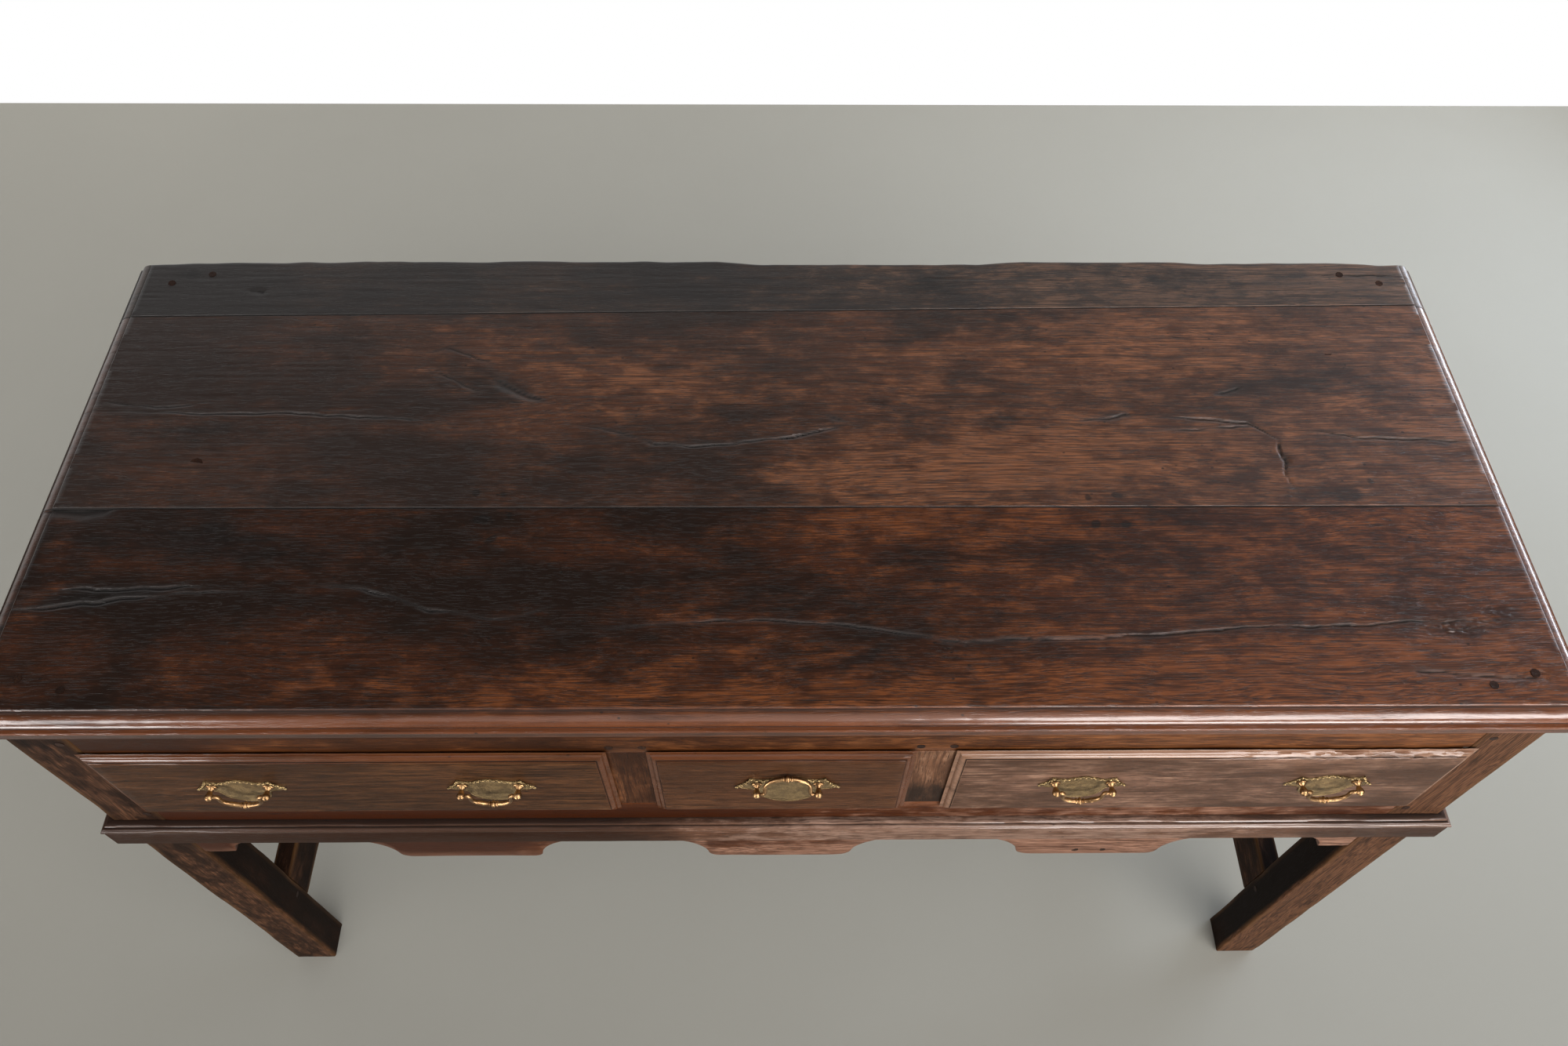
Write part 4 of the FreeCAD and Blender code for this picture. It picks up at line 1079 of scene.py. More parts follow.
@dataclass
class WaistMoulding:
    """Planted moulding across the apron, mitred at the corners and returned along both ends."""

    shelf: float = 5.0
    upper_bead: float = 7.2
    neck: float = 6.5
    bead_radius: float = 3.8
    projection: float = 12.0
    fascia: float = 10.7
    step: float = 9.0
    rub_depth: float = 0.7
    # darkening of the shelf, which is painted shade in the gap under the apron strip, and of the grooves
    grime: float = 0.8
    # painted sheen: the tone peaks right of the middle where the light falls; the wear rises to the right,
    # painting highlights on the bead with the worn colour as well as real wear
    tone: Place = (0.14, 0.75, -1.25)
    wear_and_highlight_span: Point = (-0.175, 0.35)
    wear: Point = (0.25, 1.0)

    def profile(self, bottom: float, top: float) -> tuple[np.ndarray, np.ndarray]:
        """Closed section as projection and height, and its rows of wear and of darkening: painted shade on
        the shelf, and dark grooves.
        """
        upper, radius, fascia = self.upper_bead, self.bead_radius, self.fascia
        rows = [
            (0.0, top, 0.0, 0.7), (self.shelf, top, 0.2, 0.3), (upper - 0.6, top - 0.6, 1.0, 0.0),
            (upper, top - 1.8, 1.0, 0.0), (upper - 0.2, top - 2.6, 0.3, 0.4),
            (self.neck, top - 3.0, 0.0, 1.0), (self.neck + 0.6, top - 3.3, 0.0, 1.0),
        ]
        bead, middle = self.projection - radius, top - 3.2 - radius
        for angle in range(75, -61, -15):
            way = math.radians(angle)
            rows.append((bead + radius * math.cos(way), middle + radius * math.sin(way), 1.0, 0.0))
        under = middle - radius
        rows += [
            (fascia - 1.0, under - 0.3, 0.0, 1.0), (fascia - 0.4, under - 1.0, 0.6, 0.3),
            (fascia, under - 1.8, 0.2, 0.0), (fascia, bottom + 1.0, 0.2, 0.0),
            (fascia - 0.9, bottom, 0.5, 0.0), (0.0, bottom, 0.0, 0.4),
        ]
        table = np.array(rows)
        return table[:, :2], table[:, 2:].T

    def length(self, node: str, place: Callable, length: float, seed: int,
               material: bpy.types.Material) -> None:
        """Make one length of the moulding.

        Args:
            node: CAD node that it replaces.
            place: Gives X, Y and Z from the share along the length, the projection and the height.
            length: Length that it spans.
            seed: Chooses its dents.
            material: Finish of the moulding.
        """
        lo, hi = box_mm(node)
        section, (wear, grime) = self.profile(lo[2], hi[2])
        shares = np.linspace(0.0, 1.0, max(2, round(length / self.step)))
        lanes = np.arange(len(section))[None] * 0.4
        rub = np.clip(lattice_noise(shares[:, None] * length / 31.0, lanes, seed), 0.0, 1.0)
        out = np.maximum(section[None, :, 0] - self.rub_depth * rub * wear[None], 0.0)
        rings = place(shares[:, None], out, np.broadcast_to(section[None, :, 1], out.shape))
        # painted sheen in the tone, and painted highlights in the wear that rises to the right
        share = rings[..., 0] / HALF_FRONT
        marks = {
            "wear": wear[None] * np.interp(share, self.wear_and_highlight_span, self.wear),
            "tone": polyval(share, self.tone),
            "crack": np.broadcast_to(grime[None] * self.grime, out.shape),
        }
        shell = Shell()
        shell.loft(rings, **marks)
        settle(shell.build(node + "_oak", material), "carcass", "oak_frame", node)

    def build(self, half: float, front: float, back: float, materials: Sequence[bpy.types.Material]) -> None:
        """Make the front length and both returns, each in its finish."""
        def across(share: np.ndarray, out: np.ndarray, z: np.ndarray) -> np.ndarray:
            """Place on the front length."""
            return np.stack([(half + out) * (2 * share - 1), front - out, z], axis=-1)

        self.length("waist_moulding_front", across, 2 * half, 51, materials[0])
        for side, word in ((-1, "left"), (1, "right")):
            def beside(share: np.ndarray, out: np.ndarray, z: np.ndarray, side: int = side) -> np.ndarray:
                """Place on a return."""
                return np.stack([side * (half + out), (front - out) * (1 - share) + back * share, z], axis=-1)

            self.length("waist_moulding_" + word, beside, back - front, 55 + side, materials[1])


@dataclass
class DrawerFront:
    """Lipped drawer front: mitred ovolo round a flat field, a block behind and dovetail pins at both ends."""

    word: str
    seed: int
    quirk: float = 1.2
    ovolo: float = 6.0
    border: float = 9.5
    lip_drop: float = 4.2
    lip_back: float = 7.7
    tail_count: int = 3
    tail_width: float = 22.0
    tail_slope: float = 6.0
    tail_clearance: float = 0.1
    front_lap: float = 9.0
    least_step: float = 0.04
    step: float = 8.0
    warp: float = 0.35
    ripple: float = 0.08
    hollow: float = 0.25
    nick_depth: float = 0.5
    chip_depth: float = 2.2
    chip_drop: float = 1.6
    scratch_reach: float = 4.0
    scratch_step: float = 0.6
    scratches: tuple[Patch, ...] = ()
    chips: tuple[Patch, ...] = ()

    def edge_rows(self) -> np.ndarray:
        """Inset, depth, wear and grime of each loop of the moulded edge, from the field outwards."""
        border = self.border
        rows = [(border + 0.6, 0.0, 0.3, 0.0), (border, 0.45, 0.9, 0.1), (border - 0.1, self.quirk, 0.0, 0.9)]
        for k in range(1, 6):
            angle = math.pi / 2 * (1 + k / 5)
            sink = self.lip_drop * (1 - math.sin(angle))
            rows.append((border + self.ovolo * math.cos(angle), self.quirk + sink, 0.9, 0.0))
        low = self.quirk + self.lip_drop
        rows += [(0.5, low + 0.05, 0.8, 0.0), (0.0, low + 0.3, 0.8, 0.0), (0.1, low + 0.55, 0.2, 0.4)]
        return np.array(rows)

    def face(self, shell: Shell, lo: np.ndarray, hi: np.ndarray) -> None:
        """Add the field and the moulded edge between two corners of the drawer front."""
        rows = self.edge_rows()
        across = round((hi[0] - lo[0]) / self.step)
        s = np.linspace(0.0, 1.0, across + 1)
        reach = self.scratch_reach
        busy = [tuple(p.y + way - lo[2] - self.border for way in (-reach, reach)) for p in self.scratches]
        t = spaced(0.0, hi[2] - lo[2] - 2 * self.border, self.step, self.scratch_step, busy)
        loops = []
        for k, (inset, depth, wear, _) in enumerate(rows):
            x = lo[0] + inset + (hi[0] - lo[0] - 2 * inset) * s
            near, far = (np.full(len(x), z) for z in (lo[2] + inset, hi[2] - inset))
            x, z = loop_round(x, near, far, t).T
            chipped = self.chipping(x, z, depth)
            nick = self.nick_depth * np.clip(lattice_noise(x / 19.0, z / 19.0, self.seed), 0.0, 1.0)
            deepest = rows[-1, 1] - self.least_step * (len(rows) - 1 - k)
            y = lo[1] + np.minimum(depth + wear * (nick + self.chip_depth * chipped), deepest)
            loops.append(np.column_stack([x, y, z - self.chip_drop * chipped * (inset < self.border / 2)]))
        loops = np.array(loops)
        x, z = np.meshgrid(loops[0][: across + 1, 0], loops[0][across: across + len(t), 2])
        bow = self.warp * lattice_noise(x / 160.0, z / 60.0, self.seed + 4)
        bow = bow + self.ripple * lattice_noise(x / 70.0, z / 5.0, self.seed + 5)
        scratched = sum((p.cover(x, z) for p in self.scratches), np.zeros(x.shape))
        field_points = np.stack([x, lo[1] + np.clip(bow + self.hollow, 0.0, None), z], axis=-1)
        index = shell.add(field_points, tone=scratched)
        shell.quads(index)
        border = rim(index)
        wear = np.repeat(rows[1:, 2:3], loops.shape[1], axis=1)
        grime = np.repeat(rows[1:, 3:4], loops.shape[1], axis=1)
        edge = shell.add(loops[1:], wear=wear, crack=grime)
        shell.quads(np.concatenate([border[None], edge]), closed=True)
        shell.faces.append(tuple(edge[-1].tolist()))

    def chipping(self, x: np.ndarray, z: np.ndarray, depth: float) -> np.ndarray:
        """How far the edge is chipped at each point of a loop, from 0 to 1."""
        rough = 0.5 + lattice_noise(x / 5.0, z / 2.0 + depth, self.seed + 7)
        return sum((p.cover(x, z) for p in self.chips), np.zeros(len(x))) * np.clip(rough, 0.0, 1.0)

    def pins(self, shell: Shell, side: Point, lap: float, inner: float, low: float, high: float) -> None:
        """Add the pins between the tails of one drawer side, from the lap to the inner face."""
        pitch = (high - low) / self.tail_count
        root = self.tail_width / 2 + self.tail_clearance
        wide = root + (inner - lap) / self.tail_slope
        for k in range(self.tail_count + 1):
            under = low + (k - 0.5) * pitch
            over = low + (k + 0.5) * pitch
            ends = []
            for y, half in ((lap, wide), (inner, root)):
                z0 = low if k == 0 else under + half
                z1 = high if k == self.tail_count else over - half
                ends.append((y, z0, z1))
            shell.block(*side, *ends)

    def build(self, material: bpy.types.Material) -> bpy.types.Object:
        """Make the drawer front in a finish."""
        node = self.word + "_drawer_front"
        lo, hi = box_mm(node)
        shell = Shell()
        self.face(shell, lo, hi)
        sides = [box_mm(self.word + "_drawer_side_" + hand) for hand in ("left", "right")]
        low, high = sides[0][0][2], sides[0][1][2]
        lap = lo[1] + self.front_lap
        x0, x1 = sides[0][1][0], sides[1][0][0]
        block_front = lo[1] + self.lip_back / 2
        shell.block(x0, x1, (block_front, low, high), (hi[1], low, high))
        for side_lo, side_hi in sides:
            ends = (side_lo[0], side_hi[0])
            shell.block(*ends, (block_front, low, high), (lap, low, high))
            self.pins(shell, ends, lap, hi[1], low, high)
        return settle(shell.build(node + "_oak", material), "drawer_" + self.word, "oak_drawer_front", node)


BEAD_SEGMENTS = 10
BEAD_RINGS = 6
PEG_SIDES = 9
PEG_TAPER = 0.86
PEG_LEAN = 0.05
PEG_TURN = 6.28
PEG_SINK = 0.4
PLUG_SINK = 0.5


def sow(sheet: GroupSheet, points: bpy.types.NodeSocket, solid: bpy.types.NodeSocket,
        **placed: bpy.types.NodeSocket) -> None:
    """Set a solid on each point, give it the tree's finish and send it out of the tree."""
    sown = sheet.add("GeometryNodeInstanceOnPoints", {"Points": points, "Instance": solid, **placed})
    plain = sheet.add("GeometryNodeRealizeInstances", {"Geometry": sown.outputs["Instances"]})
    inputs = {"Geometry": plain.outputs["Geometry"], "Material": sheet.given("Finish")}
    sheet.give("Geometry", sheet.add("GeometryNodeSetMaterial", inputs).outputs["Geometry"])


def bead_tree() -> bpy.types.NodeTree:
    """Geometry nodes that set flattened beads along a line, from their sizes and finish."""
    sizes = dict.fromkeys(("Bead pitch", "Bead radius", "Bead height"), FLOAT)
    inputs = {"Geometry": GEOMETRY, **sizes, "Finish": FINISH}
    sheet = GroupSheet("beads_on_crest", inputs, {"Geometry": GEOMETRY}, "GeometryNodeTree")
    line = {"Curve": sheet.given("Geometry"), "Length": sheet.given("Bead pitch")}
    apart = sheet.add("GeometryNodeResampleCurve", line, mode="LENGTH")
    ball = {"Segments": BEAD_SEGMENTS, "Rings": BEAD_RINGS, "Radius": sheet.given("Bead radius")}
    bead = sheet.add("GeometryNodeMeshUVSphere", ball)
    squash = sheet.add("ShaderNodeCombineXYZ", {"X": 1.0, "Y": sheet.given("Bead height"), "Z": 1.0})
    sow(sheet, apart.outputs["Curve"], bead.outputs["Mesh"], Scale=squash.outputs[0])
    return sheet.tree


def peg_tree() -> bpy.types.NodeTree:
    """Geometry nodes that drive a rived peg into the timber at each point, along the way it carries."""
    sizes = dict.fromkeys(("Peg radius", "Peg length", "Peg proud"), FLOAT)
    inputs = {"Geometry": GEOMETRY, **sizes, "Seed": "NodeSocketInt", "Finish": FINISH}
    sheet = GroupSheet("rived_pegs", inputs, {"Geometry": GEOMETRY}, "GeometryNodeTree")
    rod = sheet.add("GeometryNodeMeshCone", {
        "Vertices": PEG_SIDES, "Side Segments": 1, "Depth": sheet.given("Peg length"),
        "Radius Top": sheet.math("MULTIPLY", sheet.given("Peg radius"), PEG_TAPER),
        "Radius Bottom": sheet.given("Peg radius"),
    }, fill_type="NGON")
    lift = sheet.add("ShaderNodeCombineXYZ", {"Z": sheet.given("Peg proud")})
    turned = sheet.add("GeometryNodeTransform", {
        "Geometry": rod.outputs["Mesh"], "Translation": lift.outputs[0], "Rotation": (math.pi, 0.0, 0.0),
    })
    aim = sheet.add("GeometryNodeInputNamedAttribute", {"Name": "aim"}, data_type="FLOAT_VECTOR")
    upright = sheet.add("FunctionNodeAlignRotationToVector", {"Vector": aim.outputs["Attribute"]}, axis="Z")
    spin = sheet.add("FunctionNodeRandomValue", {
        0: (-PEG_LEAN, -PEG_LEAN, 0.0), 1: (PEG_LEAN, PEG_LEAN, PEG_TURN), "Seed": sheet.given("Seed"),
    }, data_type="FLOAT_VECTOR")
    turns = {"Rotation": upright.outputs["Rotation"], "Rotate By": spin.outputs[0]}
    spun = sheet.add("FunctionNodeRotateRotation", turns, rotation_space="LOCAL")
    sow(sheet, sheet.given("Geometry"), turned.outputs["Geometry"], Rotation=spun.outputs["Rotation"])
    return sheet.tree


def grown(seed_object: bpy.types.Object, tree: bpy.types.NodeTree, name: str,
          **values: object) -> bpy.types.Object:
    """Run a geometry node tree on an object and keep the result as a plain mesh.

    Args:
        seed_object: Points or curve that the tree works on; it is removed.
        tree: Geometry node tree.
        name: Name of the new piece.
        values: Inputs of the tree, underscores standing for spaces.

    Returns:
        The new object.
    """
    modifier = seed_object.modifiers.new("nodes", "NODES")
    modifier.node_group = tree
    sockets = {item.name: item.identifier for item in tree.interface.items_tree if item.in_out == "INPUT"}
    for label, value in values.items():
        modifier[sockets[label.replace("_", " ")]] = value
    bpy.context.view_layer.update()
    ready = seed_object.evaluated_get(bpy.context.evaluated_depsgraph_get())
    mesh = bpy.data.meshes.new_from_object(ready)
    mesh.name = name
    bpy.data.objects.remove(seed_object)
    return place_mesh(mesh, name, values["Finish"])


@dataclass
class Pegs:
    """Rived oak pegs driven into one body."""

    radius: float = 4.0
    length: float = 20.0
    proud: float = 0.5
    seed: int = 5

    def build(self, name: str, spots: Sequence[tuple[Place, Place]], tree: bpy.types.NodeTree,
              material: bpy.types.Material, *nodes: str) -> bpy.types.Object:
        """Make the pegs from the place of each head and the way that it faces."""
        mesh = bpy.data.meshes.new(name + "_points")
        mesh.from_pydata([tuple(c * MM for c in place) for place, _ in spots], [], [])
        layer = mesh.attributes.new("aim", "FLOAT_VECTOR", "POINT")
        layer.data.foreach_set("vector", np.array([way for _, way in spots], float).reshape(-1))
        seed_object = linked(name + "_points", mesh)
        piece = grown(seed_object, tree, name, Peg_radius=self.radius * MM, Peg_length=self.length * MM,
                      Peg_proud=self.proud * MM, Seed=self.seed, Finish=material)
        return settle(piece, "carcass", "oak_peg", *nodes)


@dataclass
class BailHandle:
    """Brass handle: bat-wing plate, two turned posts and a swinging bail with a knop."""

    word: str
    suffix: str
    bore: float
    drop: float
    raised: bool
    wire: float = 2.35
    elbow: float = 3.2
    ball: float = 4.0
    ball_gap: float = 0.6
    side_radius: float = 11.0
    side_turn: float = 60.0
    pin: float = 1.4
    pin_reach: float = 1.3
    collar: float = 5.4
    neck: float = 2.2
    shank: float = 2.1
    lean_back: float = 16.0
    heart: float = -8.0
    around: int = 14
    drawn_width: float = 81.0
    arc_points: int = 7
    crest_arcs: int = 3
    crest_inset: float = 1.2
    tail: float = 29.0

    def __post_init__(self) -> None:
        """Read the handle's place from the frame."""
        joint = next(j for j in frame["joints"] if j["child"] == self.body)
        self.x, self.y, self.z = (c / MM for c in joint["pos_m"])
        lo, hi = box_mm(self.node("plate"))
        self.plate_front, self.plate_back = lo[1], hi[1]
        self.scale = (hi[0] - lo[0]) / self.drawn_width

    @property
    def body(self) -> str:
        """Body of the bail."""
        return self.word + "_bail" + self.suffix

    def node(self, piece: str) -> str:
        """CAD node of one of the handle's pieces."""
        return self.word + "_handle_" + piece + self.suffix

    def outline(self) -> list[Point]:
        """Edge of the plate from its peak round to its peak again, from the middle between the posts."""
        arcs = (
            ((8.0, 12.5), (17.0, 8.0)), ((23.5, 8.5), (30.0, 12.0)), ((34.0, 2.5), (40.5, -4.0)),
            ((35.0, -8.5), (29.0, -9.7)), ((24.3, -13.8), (22.7, -20.0)), ((13.8, -32.5), (0.0, -36.5)),
        )
        right = [(0.0, 14.5)]
        for middle, end in arcs:
            right += arc_through(right[-1], middle, end, self.arc_points)
        whole = right + [(-a, b) for a, b in right[-2:0:-1]]
        return [(self.x + a * self.scale, self.z + b * self.scale) for a, b in whole]

    def crest(self) -> list[Point]:
        """Upper edge of the plate from tip to tip, a little inside it."""
        edge = self.outline()
        count = self.crest_arcs * self.arc_points
        line = edge[-count:] + edge[: count + 1]
        return [(a, b - self.crest_inset * self.scale) for a, b in line]

    def plate(self, material: bpy.types.Material) -> None:
        """Make the plate with a raised rim and a sunk field."""
        edge = np.array(self.outline())
        heart = np.array([self.x, self.z + self.heart * self.scale])
        arms = edge - heart
        reach = np.linalg.norm(arms, axis=1)[:, None]
        thick = self.plate_back - self.plate_front
        rows = (
            (math.inf, 0.0, 0.0), (0.0, 0.0, 0.0), (0.0, 0.7, 0.0), (0.4, 1.0, 0.0), (1.4, 1.0, 0.0),
            (1.9, 0.75, 0.9), (3.2, 0.7, 0.4), (math.inf, 0.7, 0.4),
        )
        rings = []
        for inset, rise, _ in rows:
            ring = heart + arms * np.clip(1.0 - inset / reach, 0.0, 1.0)
            y = np.full(len(ring), self.plate_back - thick * rise)
            rings.append(np.column_stack([ring[:, 0], y, ring[:, 1]]))
        grime = np.repeat(np.array(rows)[:, 2:3], len(edge), axis=1)
        shell = Shell()
        shell.loft(np.array(rings), caps=False, crack=grime)
        node = self.node("plate")
        settle(shell.build(node + "_brass", material), "drawer_" + self.word, "aged_brass", node)

    def post_rings(self, x: float) -> np.ndarray:
        """Sections of one turned post, from the tail of its shank to the tip of its ball."""
        face = self.plate_front
        shank, collar, neck = self.shank, self.collar, self.neck
        rows = [
            (shank, self.plate_back + self.tail), (shank, face), (collar, face), (collar, face - 0.8),
            (collar - 0.6, face - 1.4), (collar - 1.6, face - 1.5), (collar - 1.9, face - 2.2),
            (neck, face - 3.4), (neck - 0.2, face - 4.6),
        ]
        for k in range(1, 10):
            angle = math.radians(-52 + 142 * k / 9)
            radius = max(self.ball * math.cos(angle), 0.05)
            rows.append((radius, self.y - self.ball * math.sin(angle)))
        turn = np.linspace(0.0, 2 * math.pi, self.around, endpoint=False)
        table = np.array(rows)
        ring_x = x + table[:, :1] * np.cos(turn)[None]
        ring_z = self.z + table[:, :1] * np.sin(turn)[None]
        return np.stack([ring_x, np.repeat(table[:, 1:2], self.around, axis=1), ring_z], axis=-1)

    def bail_path(self) -> np.ndarray:
        """Middle line of the bail from pin to pin, from the pivot."""
        start = self.bore / 2 - self.ball - self.ball_gap
        arm = start - self.elbow
        turn = math.radians(self.side_turn)
        centre = arm - self.side_radius
        bottom = self.side_radius + centre / math.cos(turn)
        rise = (bottom - self.side_radius) * math.sin(turn)
        low = bottom - rise - self.drop
        points = [(self.bore / 2 + self.pin_reach, 0.0), (start + 0.4, 0.0), (start, 0.0)]
        points += [(start - self.elbow * math.sin(a), -self.elbow * (1 - math.cos(a)))
                   for a in np.linspace(0.0, math.pi / 2, 6)[1:]]
        points += [(centre + self.side_radius * math.cos(a), low - self.side_radius * math.sin(a))
                   for a in np.linspace(0.0, turn, 10)]
        points += [(bottom * math.cos(a), low + rise - bottom * math.sin(a))
                   for a in np.linspace(turn, math.pi / 2, 34)[1:]]
        return np.array(points + [(-a, b) for a, b in points[-2::-1]])

    def bail_radius(self, path: np.ndarray) -> np.ndarray:
        """Thickness of the bail along its path: slim pins, swelling arms and a ringed knop."""
        across = np.abs(path[:, 0])
        radius = self.wire * (0.82 + 0.26 * np.clip(1 - np.abs(across - 10.0) / 9.0, 0.0, 1.0))
        radius = np.where(across > self.bore / 2 - self.ball - self.ball_gap + 0.2, self.pin, radius)
        bulb = 1.55 * self.wire * np.sqrt(np.clip(1 - (across / 2.4) ** 2, 0.0, 1.0))
        ring = self.wire * (0.8 + 0.5 * np.clip(1 - ((across - 3.6) / 0.95) ** 2, 0.0, 1.0))
        knop = np.maximum(np.maximum(radius * 0.95, bulb), ring)
        return np.where(path[:, 1] < -self.drop + 2.0, knop, radius)

    def bail(self, material: bpy.types.Material) -> None:
        """Make the bail where it rests, hanging or leaning back on its plate."""
        path = self.bail_path()
        radius = self.bail_radius(path)
        way = np.gradient(path, axis=0)
        way /= np.linalg.norm(way, axis=1)[:, None]
        turn = np.linspace(0.0, 2 * math.pi, self.around, endpoint=False)
        side = np.stack([way[:, 1], -way[:, 0]], axis=1)
        swing = radius[:, None] * np.cos(turn)[None]
        rings = np.stack([path[:, :1] + side[:, :1] * swing, radius[:, None] * np.sin(turn)[None],
                          path[:, 1:] + side[:, 1:] * swing], axis=-1)
        angle = 180 + self.lean_back if self.raised else 0.0
        rings = rings @ np.array(Matrix.Rotation(math.radians(angle), 3, (-1, 0, 0))).T
        shell = Shell()
        shell.loft(rings + np.array([self.x, self.y, self.z]))
        node = self.node("bail")
        settle(shell.build(node + "_brass", material), self.body, "aged_brass", node)


@dataclass
class HandleSet:
    """All the handles of one drawer."""

    handles: tuple[BailHandle, ...]
    bead_pitch: float = 5.0
    bead_radius: float = 1.7
    bead_height: float = 0.6
    bead_lift: float = 0.1

    def beads(self, tree: bpy.types.NodeTree, material: bpy.types.Material) -> None:
        """Make the beads along the crests of the plates."""
        word = self.handles[0].word
        curve = bpy.data.curves.new(word + "_crest", "CURVE")
        curve.dimensions = "3D"
        for handle in self.handles:
            line = handle.crest()
            spline = curve.splines.new("POLY")
            spline.points.add(len(line) - 1)
            for point, (x, z) in zip(spline.points, line):
                point.co = (x * MM, (handle.plate_front - self.bead_lift) * MM, z * MM, 1.0)
        seed_object = linked(word + "_crest", curve)
        scale = self.handles[0].scale
        piece = grown(
            seed_object, tree, word + "_handle_beads", Bead_pitch=self.bead_pitch * scale * MM,
            Bead_radius=self.bead_radius * scale * MM, Bead_height=self.bead_height, Finish=material,
        )
        settle(piece, "drawer_" + word, "aged_brass")

    def build(self, tree: bpy.types.NodeTree, plain: bpy.types.Material,
              engraved: bpy.types.Material) -> None:
        """Make plates and beads in the engraved finish, and posts and bails in the plain one."""
        posts = Shell()
        for handle in self.handles:
            handle.plate(engraved)
            handle.bail(plain)
            for side in (-1, 1):
                posts.loft(handle.post_rings(handle.x + side * handle.bore / 2))
        word = self.handles[0].word
        node = word + "_handle_posts"
        settle(posts.build(node + "_brass", plain), "drawer_" + word, "aged_brass", node)
        self.beads(tree, engraved)


@dataclass
class Studio:
    """Floor, wall, soft light and the photograph's camera."""

    floor_colour: Colour = (0.347, 0.336, 0.301)
    wall_colour: Colour = (0.95, 0.95, 0.95)
    wall_y: float = 1.66
    wall_height: float = 2.2
    centre: Place = (0.0, 0.0, 0.8)
    zenith: float = 0.09
    horizon: float = 0.24
    reach: float = 30.0
    eye: Place = (-0.00975, -0.6660, 1.7332)
    yaw: float = -1.2
    pitch: float = 56.27
    roll: float = 0.88
    lens: float = 27.0
    sensor: float = 36.0
    cloud_shade: float = 0.93

    def surface(self, name: str, corners: Sequence[Place], colour: Colour, white: bool) -> None:
        """One flat sheet of the stage, which the camera and reflections may see as plain white."""
        mesh = bpy.data.meshes.new(name)
        mesh.from_pydata(corners, [], [(0, 1, 2, 3)])
        sheet = MaterialSheet(name)
        cloudy = CLOUDS.drawn(sheet, sheet.add("ShaderNodeTexCoord").outputs["Object"])
        dull = tuple(c * self.cloud_shade for c in colour)
        shade = sheet.mix(sheet.math("MULTIPLY", sheet.window(cloudy, 0.3, 0.7), 0.5), colour, dull)
        sheet.dress(Base_Color=shade, Roughness=1.0, Specular_IOR_Level=0.0)
        seen = sheet.shader.outputs["BSDF"]
        if white:
            rays = sheet.add("ShaderNodeLightPath").outputs
            watched = sheet.math("MAXIMUM", rays["Is Camera Ray"], rays["Is Glossy Ray"])
            seen = sheet.joined(watched, seen, sheet.add("ShaderNodeEmission").outputs["Emission"])
        clear = sheet.add("ShaderNodeBsdfTransparent").outputs["BSDF"]
        seen = sheet.joined(sheet.add("ShaderNodeNewGeometry").outputs["Backfacing"], seen, clear)
        sheet.feed(sheet.tree.nodes["Material Output"].inputs["Surface"], seen)
        mesh.materials.append(sheet.material)
        stage = linked(name, mesh)

    def lamp(self, name: str, way: Place, strength: float, colour: Colour,
             use: LampUse = LampUse.LAMP, **shape: object) -> None:
        """One soft light that shines on the middle of the top.

        Args:
            name: Name of the light.
            way: Where it shines from, in metres.
            strength: Watts, or watts on a square metre where it is far away.
            colour: Colour of the light.
            use: Whether it lights the object, shows in its gloss, or both.
            shape: Shape and size in metres, or else the angle that a far light covers.
        """
        data = bpy.data.lights.new(name, "SUN" if "angle" in shape else "AREA")
        data.energy = strength
        data.color = colour
        for setting, value in shape.items():
            setattr(data, setting, value)
        lamp = linked(name, data)
        lamp.location = way
        lamp.rotation_euler = (Vector(self.centre) - Vector(way)).to_track_quat("-Z", "Y").to_euler()
        lamp.visible_camera = False
        lamp.visible_diffuse = use is not LampUse.CARD
        lamp.visible_glossy = use is not LampUse.FILL

    def light(self) -> None:
        """World brighter towards the horizon, soft lights, a window, and cards that only show in gloss."""
        world = bpy.data.worlds.new("studio")
        bpy.context.scene.world = world
        world.use_nodes = True
        sheet = NodeSheet(world.node_tree)
        ground = world.node_tree.nodes["Background"]
        ground.inputs["Color"].default_value = (0.97, 0.98, 1.0, 1.0)
        rays = sheet.add("ShaderNodeLightPath")
        ray = sheet.add("ShaderNodeSeparateXYZ", {0: sheet.add("ShaderNodeTexCoord").outputs["Generated"]})
        low = sheet.window(ray.outputs["Z"], 0.65, 0.1)
        glow = sheet.plus(self.zenith, low, self.horizon)
        seen = sheet.math("MAXIMUM", rays.outputs["Is Camera Ray"], glow)
        sheet.feed(ground.inputs["Strength"], seen)
        warm, cool, white = (1.0, 0.985, 0.96), (0.72, 0.84, 1.0), (1.0, 1.0, 1.0)
        self.lamp("front", (1.2, -3.4, 1.9), 2.1, warm, LampUse.FILL, angle=math.radians(70))
        self.lamp("front_left", (-2.6, -2.8, 1.8), 0.6, warm, LampUse.FILL, angle=math.radians(50))
        self.lamp("overhead", (0.6, -1.5, 3.6), 0.95, warm, angle=math.radians(60))
        self.lamp("right", (1.7, -1.7, 1.7), 22.0, warm, LampUse.FILL, size=1.8)
        self.lamp("window", (2.2, 0.9, 1.15), 28.0, cool, LampUse.FILL, size=1.3)
        cards = (
            ("left_high_card", (-1.7, -1.34, 2.03), 27.0, white, 0.56, 1.0),
            ("right_high_card", (1.1, -1.34, 2.03), 62.0, white, 1.4, 1.0),
            ("left_low_card", (-1.75, -1.8, 0.36), 55.0, white, 0.9, 1.0),
            ("right_low_card", (0.95, -1.8, 0.36), 50.0, white, 1.0, 1.0),
            ("window_card", (2.2, 0.9, 0.98), 26.0, cool, 1.6, 0.35),
            ("right_back_card", (1.6, 0.95, 2.9), 3.2, cool, 1.3, 1.3),
        )
        for name, way, strength, colour, width, height in cards:
            self.lamp(name, way, strength, colour, LampUse.CARD, shape="RECTANGLE", size=width, size_y=height)

